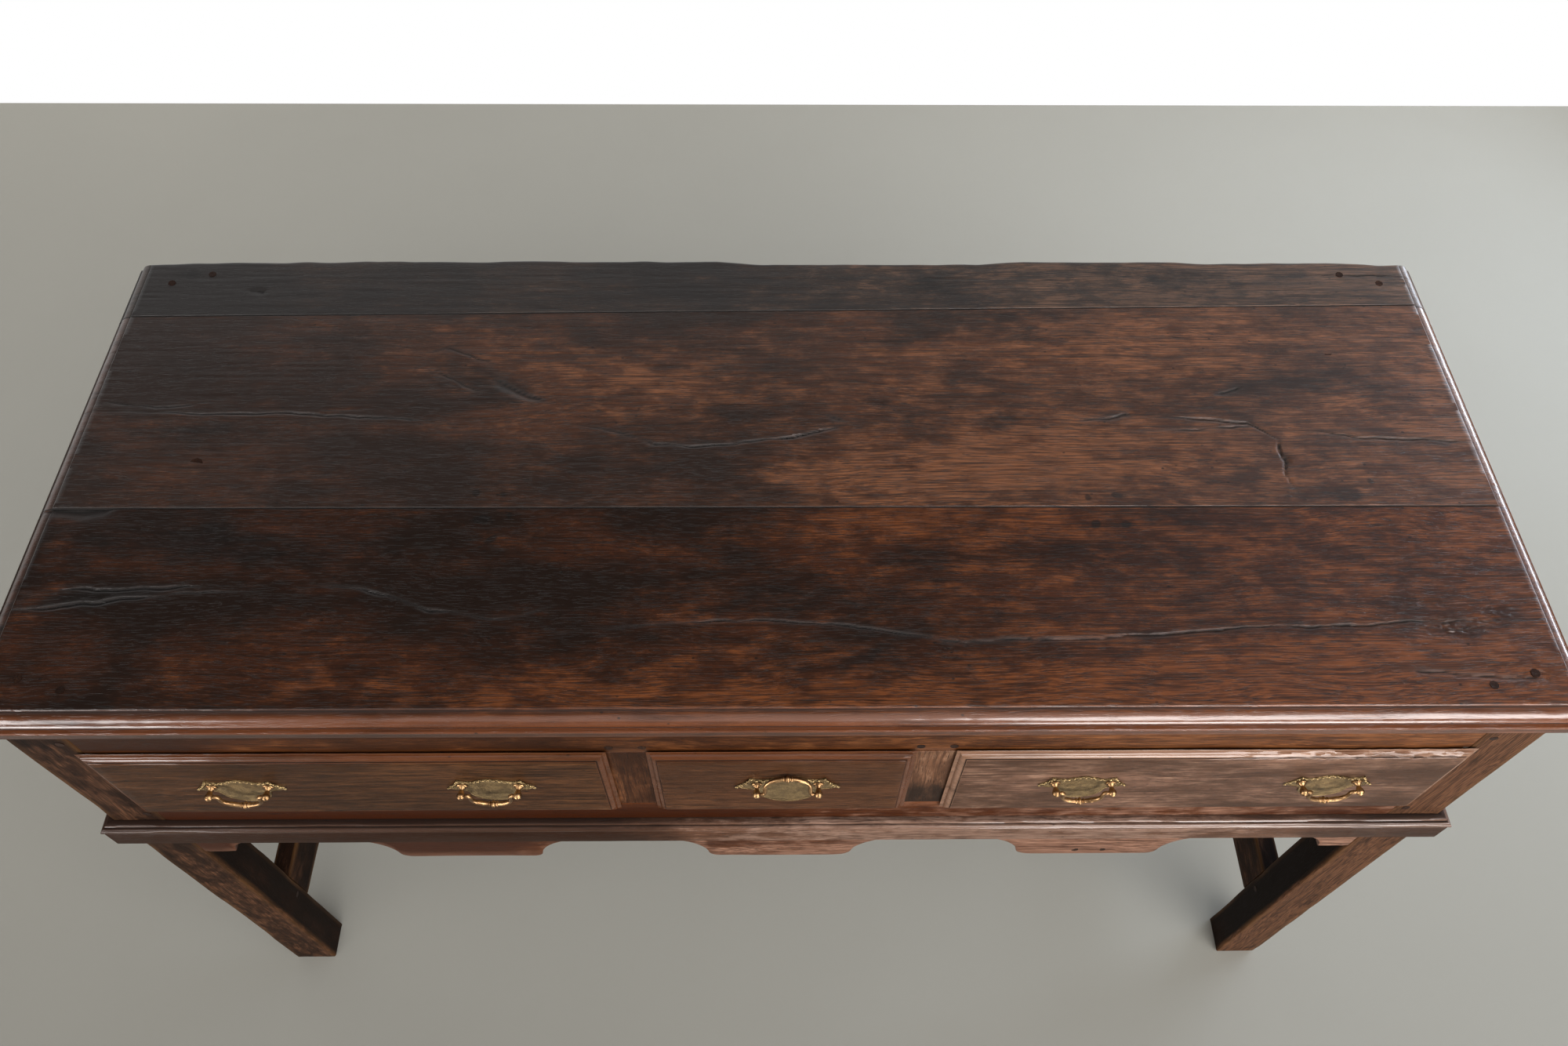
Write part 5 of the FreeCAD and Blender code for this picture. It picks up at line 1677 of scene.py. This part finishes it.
    def camera(self) -> None:
        """Camera at the photograph's angle."""
        yaw, pitch, roll = (math.radians(a) for a in (self.yaw, self.pitch, self.roll))
        right = Vector((math.cos(yaw), math.sin(yaw), 0.0))
        ahead = Vector((-math.sin(yaw) * math.cos(pitch), math.cos(yaw) * math.cos(pitch), -math.sin(pitch)))
        up = right.cross(ahead)
        tilted = math.cos(roll) * right + math.sin(roll) * up
        raised = math.cos(roll) * up - math.sin(roll) * right
        turn = Matrix((tilted, raised, -ahead)).transposed()
        data = bpy.data.cameras.new("photo")
        data.lens = self.lens
        data.sensor_width = self.sensor
        made = linked("photo", data)
        made.matrix_world = Matrix.Translation(Vector(self.eye)) @ turn.to_4x4()
        bpy.context.scene.camera = made

    def build(self) -> None:
        """Make the whole stage."""
        r = self.reach
        self.surface("floor", [(-r, -r, 0), (r, -r, 0), (r, r, 0), (-r, r, 0)], self.floor_colour, False)
        y, h = self.wall_y, self.wall_height
        self.surface("wall", [(-r, y, 0), (r, y, 0), (r, y, h), (-r, y, h)], self.wall_colour, True)
        self.light()
        self.camera()
        bpy.context.scene.view_settings.view_transform = "Standard"


FRONT_OAK = OakFinish(
    dark=(0.012, 0.0046, 0.0020), middle=(0.062, 0.0175, 0.0056), light=(0.2, 0.059, 0.0155),
    worn=(0.17, 0.05, 0.0155), roughness=0.31, coat=0.08, stains=0.72, specks=0.8, shine=0.3, polish=0.7,
)
MIDDLE_OAK = replace(
    FRONT_OAK, dark=(0.019, 0.0092, 0.0058), middle=(0.085, 0.0295, 0.0125), light=(0.24, 0.09, 0.037),
    shine=0.42,
)
BACK_OAK = OakFinish(
    dark=(0.013, 0.0092, 0.0078), middle=(0.046, 0.026, 0.017), light=(0.16, 0.08, 0.045),
    worn=(0.11, 0.055, 0.028), roughness=0.38, coat=0.05, grain=0.7,
)
FRAME_OAK = OakFinish(
    dark=(0.03, 0.0092, 0.003), middle=(0.115, 0.035, 0.0098), light=(0.25, 0.09, 0.029),
    worn=(0.19, 0.058, 0.0165), roughness=0.36, coat=0.0, stains=0.5, shine=0.08, grain=0.75, polish=0.35,
)
END_OAK = replace(FRAME_OAK, roughness=0.55, shine=0.03)
# Its light colour shows where the tone's painted sheen peaks, and its lighter worn colour paints highlights
# on the bead towards the right.
WAIST_OAK = replace(
    FRAME_OAK, dark=(0.022, 0.0072, 0.0026), middle=(0.14, 0.063, 0.035), light=(0.37, 0.23, 0.17),
    worn=(0.19, 0.1, 0.064), polish=0.75, sway=0.8, grain=0.5,
)
# Its light colour shows on the middle and right drops, partly as painted light.
APRON_OAK = replace(
    FRAME_OAK, dark=(0.044, 0.0100, 0.0022), middle=(0.125, 0.038, 0.0115), light=(0.42, 0.225, 0.15),
    sway=0.7,
)
LEG_OAK = OakFinish(
    dark=(0.0075, 0.0036, 0.0022), middle=(0.03, 0.0125, 0.0062), light=(0.15, 0.067, 0.034),
    worn=(0.11, 0.05, 0.018), roughness=0.5, coat=0.0, stains=0.5, shine=0.04, sway=0.6, grain=0.5,
)
# The right muntin's figured finish is lighter than the left muntin's, partly as painted light from the right.
FIGURED_OAK = replace(
    FRAME_OAK, dark=(0.075, 0.032, 0.016), middle=(0.25, 0.115, 0.06), light=(0.5, 0.29, 0.18), stains=0.8,
)
MUNTIN_OAK = replace(FRAME_OAK, middle=(0.165, 0.059, 0.0225), light=(0.34, 0.14, 0.058))
# The drawer fronts grow lighter from left to right, partly their wood and partly painted light from the
# right; the right front's paler, bluer colours also paint a whitish sheen.
LEFT_DRAWER_OAK = OakFinish(
    dark=(0.02, 0.0078, 0.003), middle=(0.12, 0.046, 0.0165), light=(0.22, 0.09, 0.034),
    worn=(0.13, 0.037, 0.0105), roughness=0.33, coat=0.0, stains=0.5, mottle=0.55, shine=0.08, grain=0.85,
    polish=0.7,
)
MIDDLE_DRAWER_OAK = replace(
    LEFT_DRAWER_OAK, dark=(0.042, 0.0155, 0.006), middle=(0.125, 0.046, 0.0175), light=(0.23, 0.1, 0.044),
)
RIGHT_DRAWER_OAK = replace(
    LEFT_DRAWER_OAK, dark=(0.066, 0.031, 0.0175), middle=(0.285, 0.152, 0.1), light=(0.49, 0.295, 0.2),
    worn=(0.36, 0.19, 0.115), mottle=1.0,
)
INSIDE_OAK = OakFinish(
    dark=(0.13, 0.075, 0.04), middle=(0.25, 0.155, 0.085), light=(0.36, 0.24, 0.14),
    worn=(0.38, 0.26, 0.16), dirt=(0.06, 0.035, 0.02), roughness=0.62, coat=0.0, specks=0.3,
)
PEG_OAK = OakFinish(
    dark=(0.012, 0.005, 0.003), middle=(0.04, 0.015, 0.007), light=(0.09, 0.034, 0.014),
    worn=(0.1, 0.05, 0.025), roughness=0.4, coat=0.0, shine=0.1,
)

FRONT_CRACKS = (
    Crack(((-635, -137), (-583, -138), (-550, -136), (-505, -134)), 1.0, 2.0, 3),
    Crack(((-680, -157), (-632, -155), (-588, -149), (-559, -145), (-500, -139), (-458, -140)), 1.1, 2.2, 4),
    Crack(((-414, -132), (-369, -138), (-343, -146), (-314, -156), (-252, -168), (-222, -165), (-200, -155)),
          0.9, 1.6, 5),
    Crack(((-222, -165), (-191, -183), (-165, -180), (-108, -174), (-72, -171), (-6, -171), (46, -174),
           (91, -181), (156, -193), (187, -190), (264, -189), (334, -184), (387, -180), (510, -176),
           (566, -173), (682, -173)), 0.9, 1.5, 6),
    Crack(((526, -221), (598, -225), (650, -231)), 1.1, 1.4, 7),
    Crack(((-676, -53), (-640, -54), (-604, -52)), 3.2, 2.6, 8),
)
FRONT_STAINS = (
    Patch(117, -109, 62, 30, 0.6, -12), Patch(63, -212, 58, 9, 0.6, 36), Patch(6, -213, 20, 46, 0.5),
    Patch(-10, -152, 150, 20, 0.55, 2), Patch(317, -231, 60, 12, 0.6, 8), Patch(160, -249, 12, 12, 0.7),
    Patch(-600, -146, 75, 10, 0.9, 8), Patch(-430, -95, 150, 26, 0.55), Patch(584, -178, 40, 14, 0.45),
    Patch(-560, -85, 90, 22, 0.5), Patch(-640, -215, 30, 26, 0.4), Patch(300, -110, 120, 34, 0.35),
    *(Patch(x, y, 5, 4, 1.2) for x, y in ((-279, -64), (-250, -64), (-267, -84), (284, -69), (314, -70))),
)
FRONT_TONES = (
    Patch(170, -248, 500, 22, 0.5), Patch(150, -66, 150, 22, 0.3), Patch(-300, -236, 160, 16, 0.22),
    Patch(420, -222, 220, 36, 0.42), Patch(-30, -226, 150, 26, 0.15), Patch(-650, -120, 24, 90, 0.35),
    Patch(-510, -224, 170, 34, 0.14),
)
FRONT_DENTS = (
    Patch(574, -182, 20, 10, 0.9), Patch(612, -168, 30, 8, 0.7, 12), Patch(160, -253, 7, 8, 0.5),
    Patch(640, -222, 30, 7, 0.8, -8), Patch(560, -150, 22, 5, 0.5),
)
MIDDLE_CRACKS = (
    Crack(((-680, 63), (-620, 62), (-546, 60), (-472, 61), (-430, 57), (-366, 55), (-338, 49), (-318, 30)),
          0.9, 1.7, 11),
    Crack(((-662, 74), (-605, 67), (-536, 76)), 0.7, 1.0, 12),
    Crack(((-211, 47), (-159, 37), (-118, 22), (-85, 19), (-44, 22), (-5, 28), (25, 35), (64, 45), (84, 48)),
          0.8, 1.5, 13),
    Crack(((-5, 28), (25, 34), (50, 41)), 1.2, 2.2, 14),
    Crack(((370, 54), (424, 52), (454, 47), (479, 25), (482, 0), (477, -25), (490, -50)), 1.0, 2.0, 15),
    Crack(((342, 36), (421, 39), (464, 44)), 1.0, 1.4, 16),
    Crack(((288, 47), (336, 57), (338, 43)), 1.2, 1.5, 17),
    Crack(((513, 36), (555, 29), (595, 27), (680, 23)), 1.0, 1.8, 18),
    Crack(((430, 82), (457, 93)), 1.5, 1.4, 19),
    Crack(((-285, 105), (-258, 87), (-229, 72)), 2.0, 2.4, 20),
    Crack(((-365, 129), (-339, 145), (-276, 119)), 0.9, 0.8, 21),
    Crack(((-352, 119), (-289, 83)), 0.9, 0.9, 22),
    Crack(((44, 59), (62, 49)), 1.6, 1.5, 23),
)
MIDDLE_STAINS = (
    Patch(117, 152, 34, 14, 0.55, 30), Patch(96, 78, 24, 10, 0.55), Patch(128, 52, 11, 18, 0.5),
    Patch(206, 47, 34, 12, 0.55), Patch(229, 64, 24, 11, 0.5), Patch(225, 170, 80, 30, 0.6),
    Patch(151, 186, 60, 20, 0.7), Patch(-572, 40, 110, 26, 0.55), Patch(-600, 120, 60, 34, 0.4),
    Patch(-300, 100, 90, 22, 0.55, -25), Patch(30, 0, 60, 12, 0.4), Patch(420, 100, 60, 12, 0.4),
    Patch(590, 120, 40, 26, 0.4), Patch(524, -40, 20, 9, 0.8),
    *(Patch(x, y, 5, 4, 1.2) for x, y in ((-283, -35), (-253, -35), (285, -40), (316, -40), (557, -27))),
)
MIDDLE_TONES = (
    Patch(130, -18, 170, 34, 0.5), Patch(250, 20, 120, 30, 0.4), Patch(-231, 116, 160, 40, 0.2),
    Patch(-80, 90, 150, 50, 0.2), Patch(330, 150, 160, 40, 0.25), Patch(-420, 175, 90, 14, 0.25),
)
BACK_CRACKS = (
    Crack(((-556, 226), (-535, 221)), 1.6, 1.6, 25),
    Crack(((560, 247), (640, 246), (680, 245)), 0.9, 1.2, 26),
)
BACK_STAINS = (Patch(-622, 246, 14, 9, 0.8), Patch(160, 235, 60, 30, 0.6), Patch(430, 240, 80, 20, 0.5))
TOP_PLUGS = ((-551, -185), (-550, -1), (557, 140), (561, 222))


class Dresser:
    """The whole dresser, sub-assembly by sub-assembly."""

    def __init__(self) -> None:
        """Make the shared node groups and read the frame's main places."""
        self.shop = Workshop(oak_figure_group(), grime_group(), edge_wear_group())
        self.leg_lo, self.leg_hi = box_mm("leg_front_right")
        self.back_lo, self.back_hi = box_mm("leg_back_right")
        self.inner = self.leg_lo[0]

    def oak(self, name: str, finish: OakFinish, grain: Grain, offset: float) -> bpy.types.Material:
        """Material of one timber."""
        return finish.material(name, self.shop, grain, offset)

    def top(self) -> None:
        """Three planks."""
        front = TopBoard("top_board_front", BoardEdge.MOULDED, BoardEdge.JOINT, 1,
                         FRONT_CRACKS, FRONT_STAINS, FRONT_TONES, FRONT_DENTS)
        middle = TopBoard("top_board_middle", BoardEdge.JOINT, BoardEdge.JOINT, 2,
                          MIDDLE_CRACKS, MIDDLE_STAINS, MIDDLE_TONES, lengthways=5.2, fine=0.8)
        # the back plank's stronger lightening to the right is partly painted light
        back = TopBoard("top_board_back", BoardEdge.JOINT, BoardEdge.RAGGED, 3,
                        BACK_CRACKS, BACK_STAINS, painted_light_slant=0.6)
        planks = ((front, "front_plank", FRONT_OAK, 1.3), (middle, "middle_plank", MIDDLE_OAK, 4.7),
                  (back, "back_plank", BACK_OAK, 7.9))
        for board, name, finish, offset in planks:
            board.build(self.oak(name, finish, Grain.ALONG_X, offset))

    def legs(self) -> None:
        """Four legs."""
        for k, word in enumerate(("front_left", "front_right", "back_left", "back_right")):
            node = "leg_" + word
            lo, hi = box_mm(node)
            # painted light: the right leg's front is lighter than the left's, where the light falls; each
            # inner side gets painted shade
            painted_front_light = 0.4 if word == "front_right" else 0.1
            timber = Timber(lo, hi, Grain.ALONG_Z, 60 + k, arris=2.0, wear=0.9, foot=2.5,
                            painted_front_light=painted_front_light, shaded_side=1 if "left" in word else -1)
            timber.build(node, self.oak(node, LEG_OAK, Grain.ALONG_Z, 2.0 + 1.7 * k))

    def between(self, node: str, grain: Grain, seed: int, finish: OakFinish = FRAME_OAK,
                painted_light_slant: float = 0.0) -> None:
        """A rail, board or stretcher from shoulder to shoulder, without its tenons.

        Args:
            node: CAD node that it replaces.
            grain: Axis of its length.
            seed: Chooses its wear and its place in the log.
            finish: Its finish.
            painted_light_slant: How much lighter its right end is, partly as painted light.
        """
        lo, hi = box_mm(node)
        if grain is Grain.ALONG_X:
            lo[0], hi[0] = -self.inner, self.inner
        elif grain is Grain.ALONG_Y:
            lo[1], hi[1] = self.leg_hi[1], self.back_lo[1]
        timber = Timber(lo, hi, grain, seed, painted_front_light=painted_light_slant / 3, painted_light_slant=painted_light_slant)
        timber.build(node, self.oak(node, finish, grain, 0.9 * (seed % 23)))

    def frame_timbers(self) -> None:
        """Rails, muntins, boards, stretchers and the apron."""
        long = ("front_top_rail", "back_board_upper", "back_board_lower", "stretcher_back")
        for k, node in enumerate(long):
            # the front top rail grows lighter towards the right, partly as painted light
            self.between(node, Grain.ALONG_X, 70 + k, painted_light_slant=0.5 if k == 0 else 0.0)
        deep = ("end_board_left", "end_board_right", "stretcher_left", "stretcher_right")
        for k, node in enumerate(deep):
            self.between(node, Grain.ALONG_Y, 80 + k, LEG_OAK if "stretcher" in node else END_OAK)
        apron_top = box_mm("apron_rail")[1][2]
        rail_bottom = box_mm("front_top_rail")[0][2]
        for k, word in enumerate(("left", "right")):
            node = "muntin_" + word
            lo, hi = box_mm(node)
            lo[2], hi[2] = apron_top, rail_bottom
            # the right muntin's darker foot is painted shade
            finish, stain = (FIGURED_OAK, 0.75) if word == "right" else (MUNTIN_OAK, 0.0)
            timber = Timber(lo, hi, Grain.ALONG_Z, 90 + k, foot_shade=stain)
            timber.build(node, self.oak(node, finish, Grain.ALONG_Z, 3.1 * k + 0.4))
        Apron().build(self.inner, self.oak("apron", APRON_OAK, Grain.ALONG_X, 5.5))
        moulding = self.oak("waist_front", WAIST_OAK, Grain.ALONG_X, 6.6)
        returns = self.oak("waist_return", replace(WAIST_OAK, polish=0.2), Grain.ALONG_Y, 2.6)
        WaistMoulding().build(self.leg_hi[0], self.leg_lo[1], self.back_hi[1], (moulding, returns))

    def pegs(self) -> None:
        """Pegs of the frame and the top, where the CAD pegs are, and the plugs in the top."""
        tree = peg_tree()
        oak = self.oak("pegs", PEG_OAK, Grain.ALONG_Z, 0.2)
        for word in ("frame", "top"):
            spots = [self.head(lo, hi) for lo, hi in self.islands(word + "_pegs")]
            Pegs().build(word + "_peg_heads", spots, tree, oak, word + "_pegs")
        height = box_mm("top_board_front")[1][2]
        plugs = [((x, y, height - PLUG_SINK), (0, 0, 1)) for x, y in TOP_PLUGS]
        Pegs(radius=6.5, length=8.0, proud=0.1).build("top_plugs", plugs, tree, oak)

    def islands(self, node: str) -> list[tuple[np.ndarray, np.ndarray]]:
        """Boxes of the separate solids of a CAD node, in millimetres."""
        work = bmesh.new()
        work.from_mesh(frame["nodes"][node].data)
        bmesh.ops.remove_doubles(work, verts=work.verts, dist=WELD)
        waiting = set(work.verts)
        boxes = []
        while waiting:
            found, front = set(), [waiting.pop()]
            while front:
                vertex = front.pop()
                found.add(vertex)
                for edge in vertex.link_edges:
                    other = edge.other_vert(vertex)
                    if other in waiting:
                        waiting.remove(other)
                        front.append(other)
            places = np.array([v.co for v in found]) / MM
            boxes.append((places.min(0), places.max(0)))
        work.free()
        return sorted(boxes, key=lambda pair: tuple(pair[0].round(2)))

    def head(self, lo: np.ndarray, hi: np.ndarray) -> tuple[Place, Place]:
        """Place of a peg's head and the way that it faces, from the peg's box."""
        axis = int(np.argmax(hi - lo))
        middle = (lo + hi) / 2
        way = np.zeros(3)
        if axis == 2:
            sign = 1.0
        elif axis == 1:
            sign = 1.0 if middle[1] > 0 else -1.0
        else:
            outside = abs(middle[0]) > self.leg_hi[0] - (hi - lo)[0]
            sign = math.copysign(1.0, middle[0]) * (1.0 if outside else -1.0)
        way[axis] = sign
        place = middle.copy()
        place[axis] = hi[axis] if sign > 0 else lo[axis]
        place = place - way * PEG_SINK
        return tuple(place), tuple(way)

    def drawers(self) -> None:
        """Drawer fronts, and the finish of the drawer boxes, runners and guides."""
        fronts = (
            (DrawerFront("left", 100, scratches=(Patch(-587, 671.5, 36, 0.9, 3.0),)), LEFT_DRAWER_OAK),
            (DrawerFront("middle", 101), MIDDLE_DRAWER_OAK),
            (DrawerFront("right", 102, chips=(Patch(560, 731, 130, 14, 1.0),)), RIGHT_DRAWER_OAK),
        )
        for k, (front, finish) in enumerate(fronts):
            front.build(self.oak(front.word + "_front", finish, Grain.ALONG_X, 2.2 + 3.3 * k))
        dry = {grain: self.oak("dry_" + grain.name.lower(), INSIDE_OAK, grain, 1.0) for grain in Grain}
        for node in frame["nodes"]:
            if "_drawer_side" in node or node.startswith("runner") or node == "drawer_guides":
                refinish(node, dry[Grain.ALONG_Y])
            elif "_drawer_b" in node:
                refinish(node, dry[Grain.ALONG_X])

    def handles(self) -> None:
        """Five brass handles, and the finish of their nuts."""
        tree = bead_tree()
        plain = BrassFinish().material("brass_plain")
        olive = BrassFinish((0.36, 0.25, 0.117), (0.17, 0.117, 0.055), engraved=1.0)
        engraved = olive.material("brass_engraved")
        for word in ("left", "right"):
            pair = tuple(BailHandle(word, suffix, 53.0, 21.0, False) for suffix in ("_1", "_2"))
            HandleSet(pair).build(tree, plain, engraved)
        HandleSet((BailHandle("middle", "", 58.0, 23.0, True),)).build(tree, plain, engraved)
        for word in ("left", "middle", "right"):
            refinish(word + "_handle_nuts", plain)

    def build(self) -> None:
        """Build everything in order."""
        for step in (self.top, self.legs, self.frame_timbers, self.pegs, self.drawers, self.handles):
            step()
            LOG.info("%s done", step.__name__)


def main() -> None:
    """Build the dresser and its studio; each piece's face count goes to the log."""
    logging.basicConfig(level=logging.INFO, format="%(name)s: %(message)s")
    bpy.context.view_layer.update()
    Dresser().build()
    Studio().build()
    bpy.context.view_layer.update()


if __name__ == "__main__":
    main()
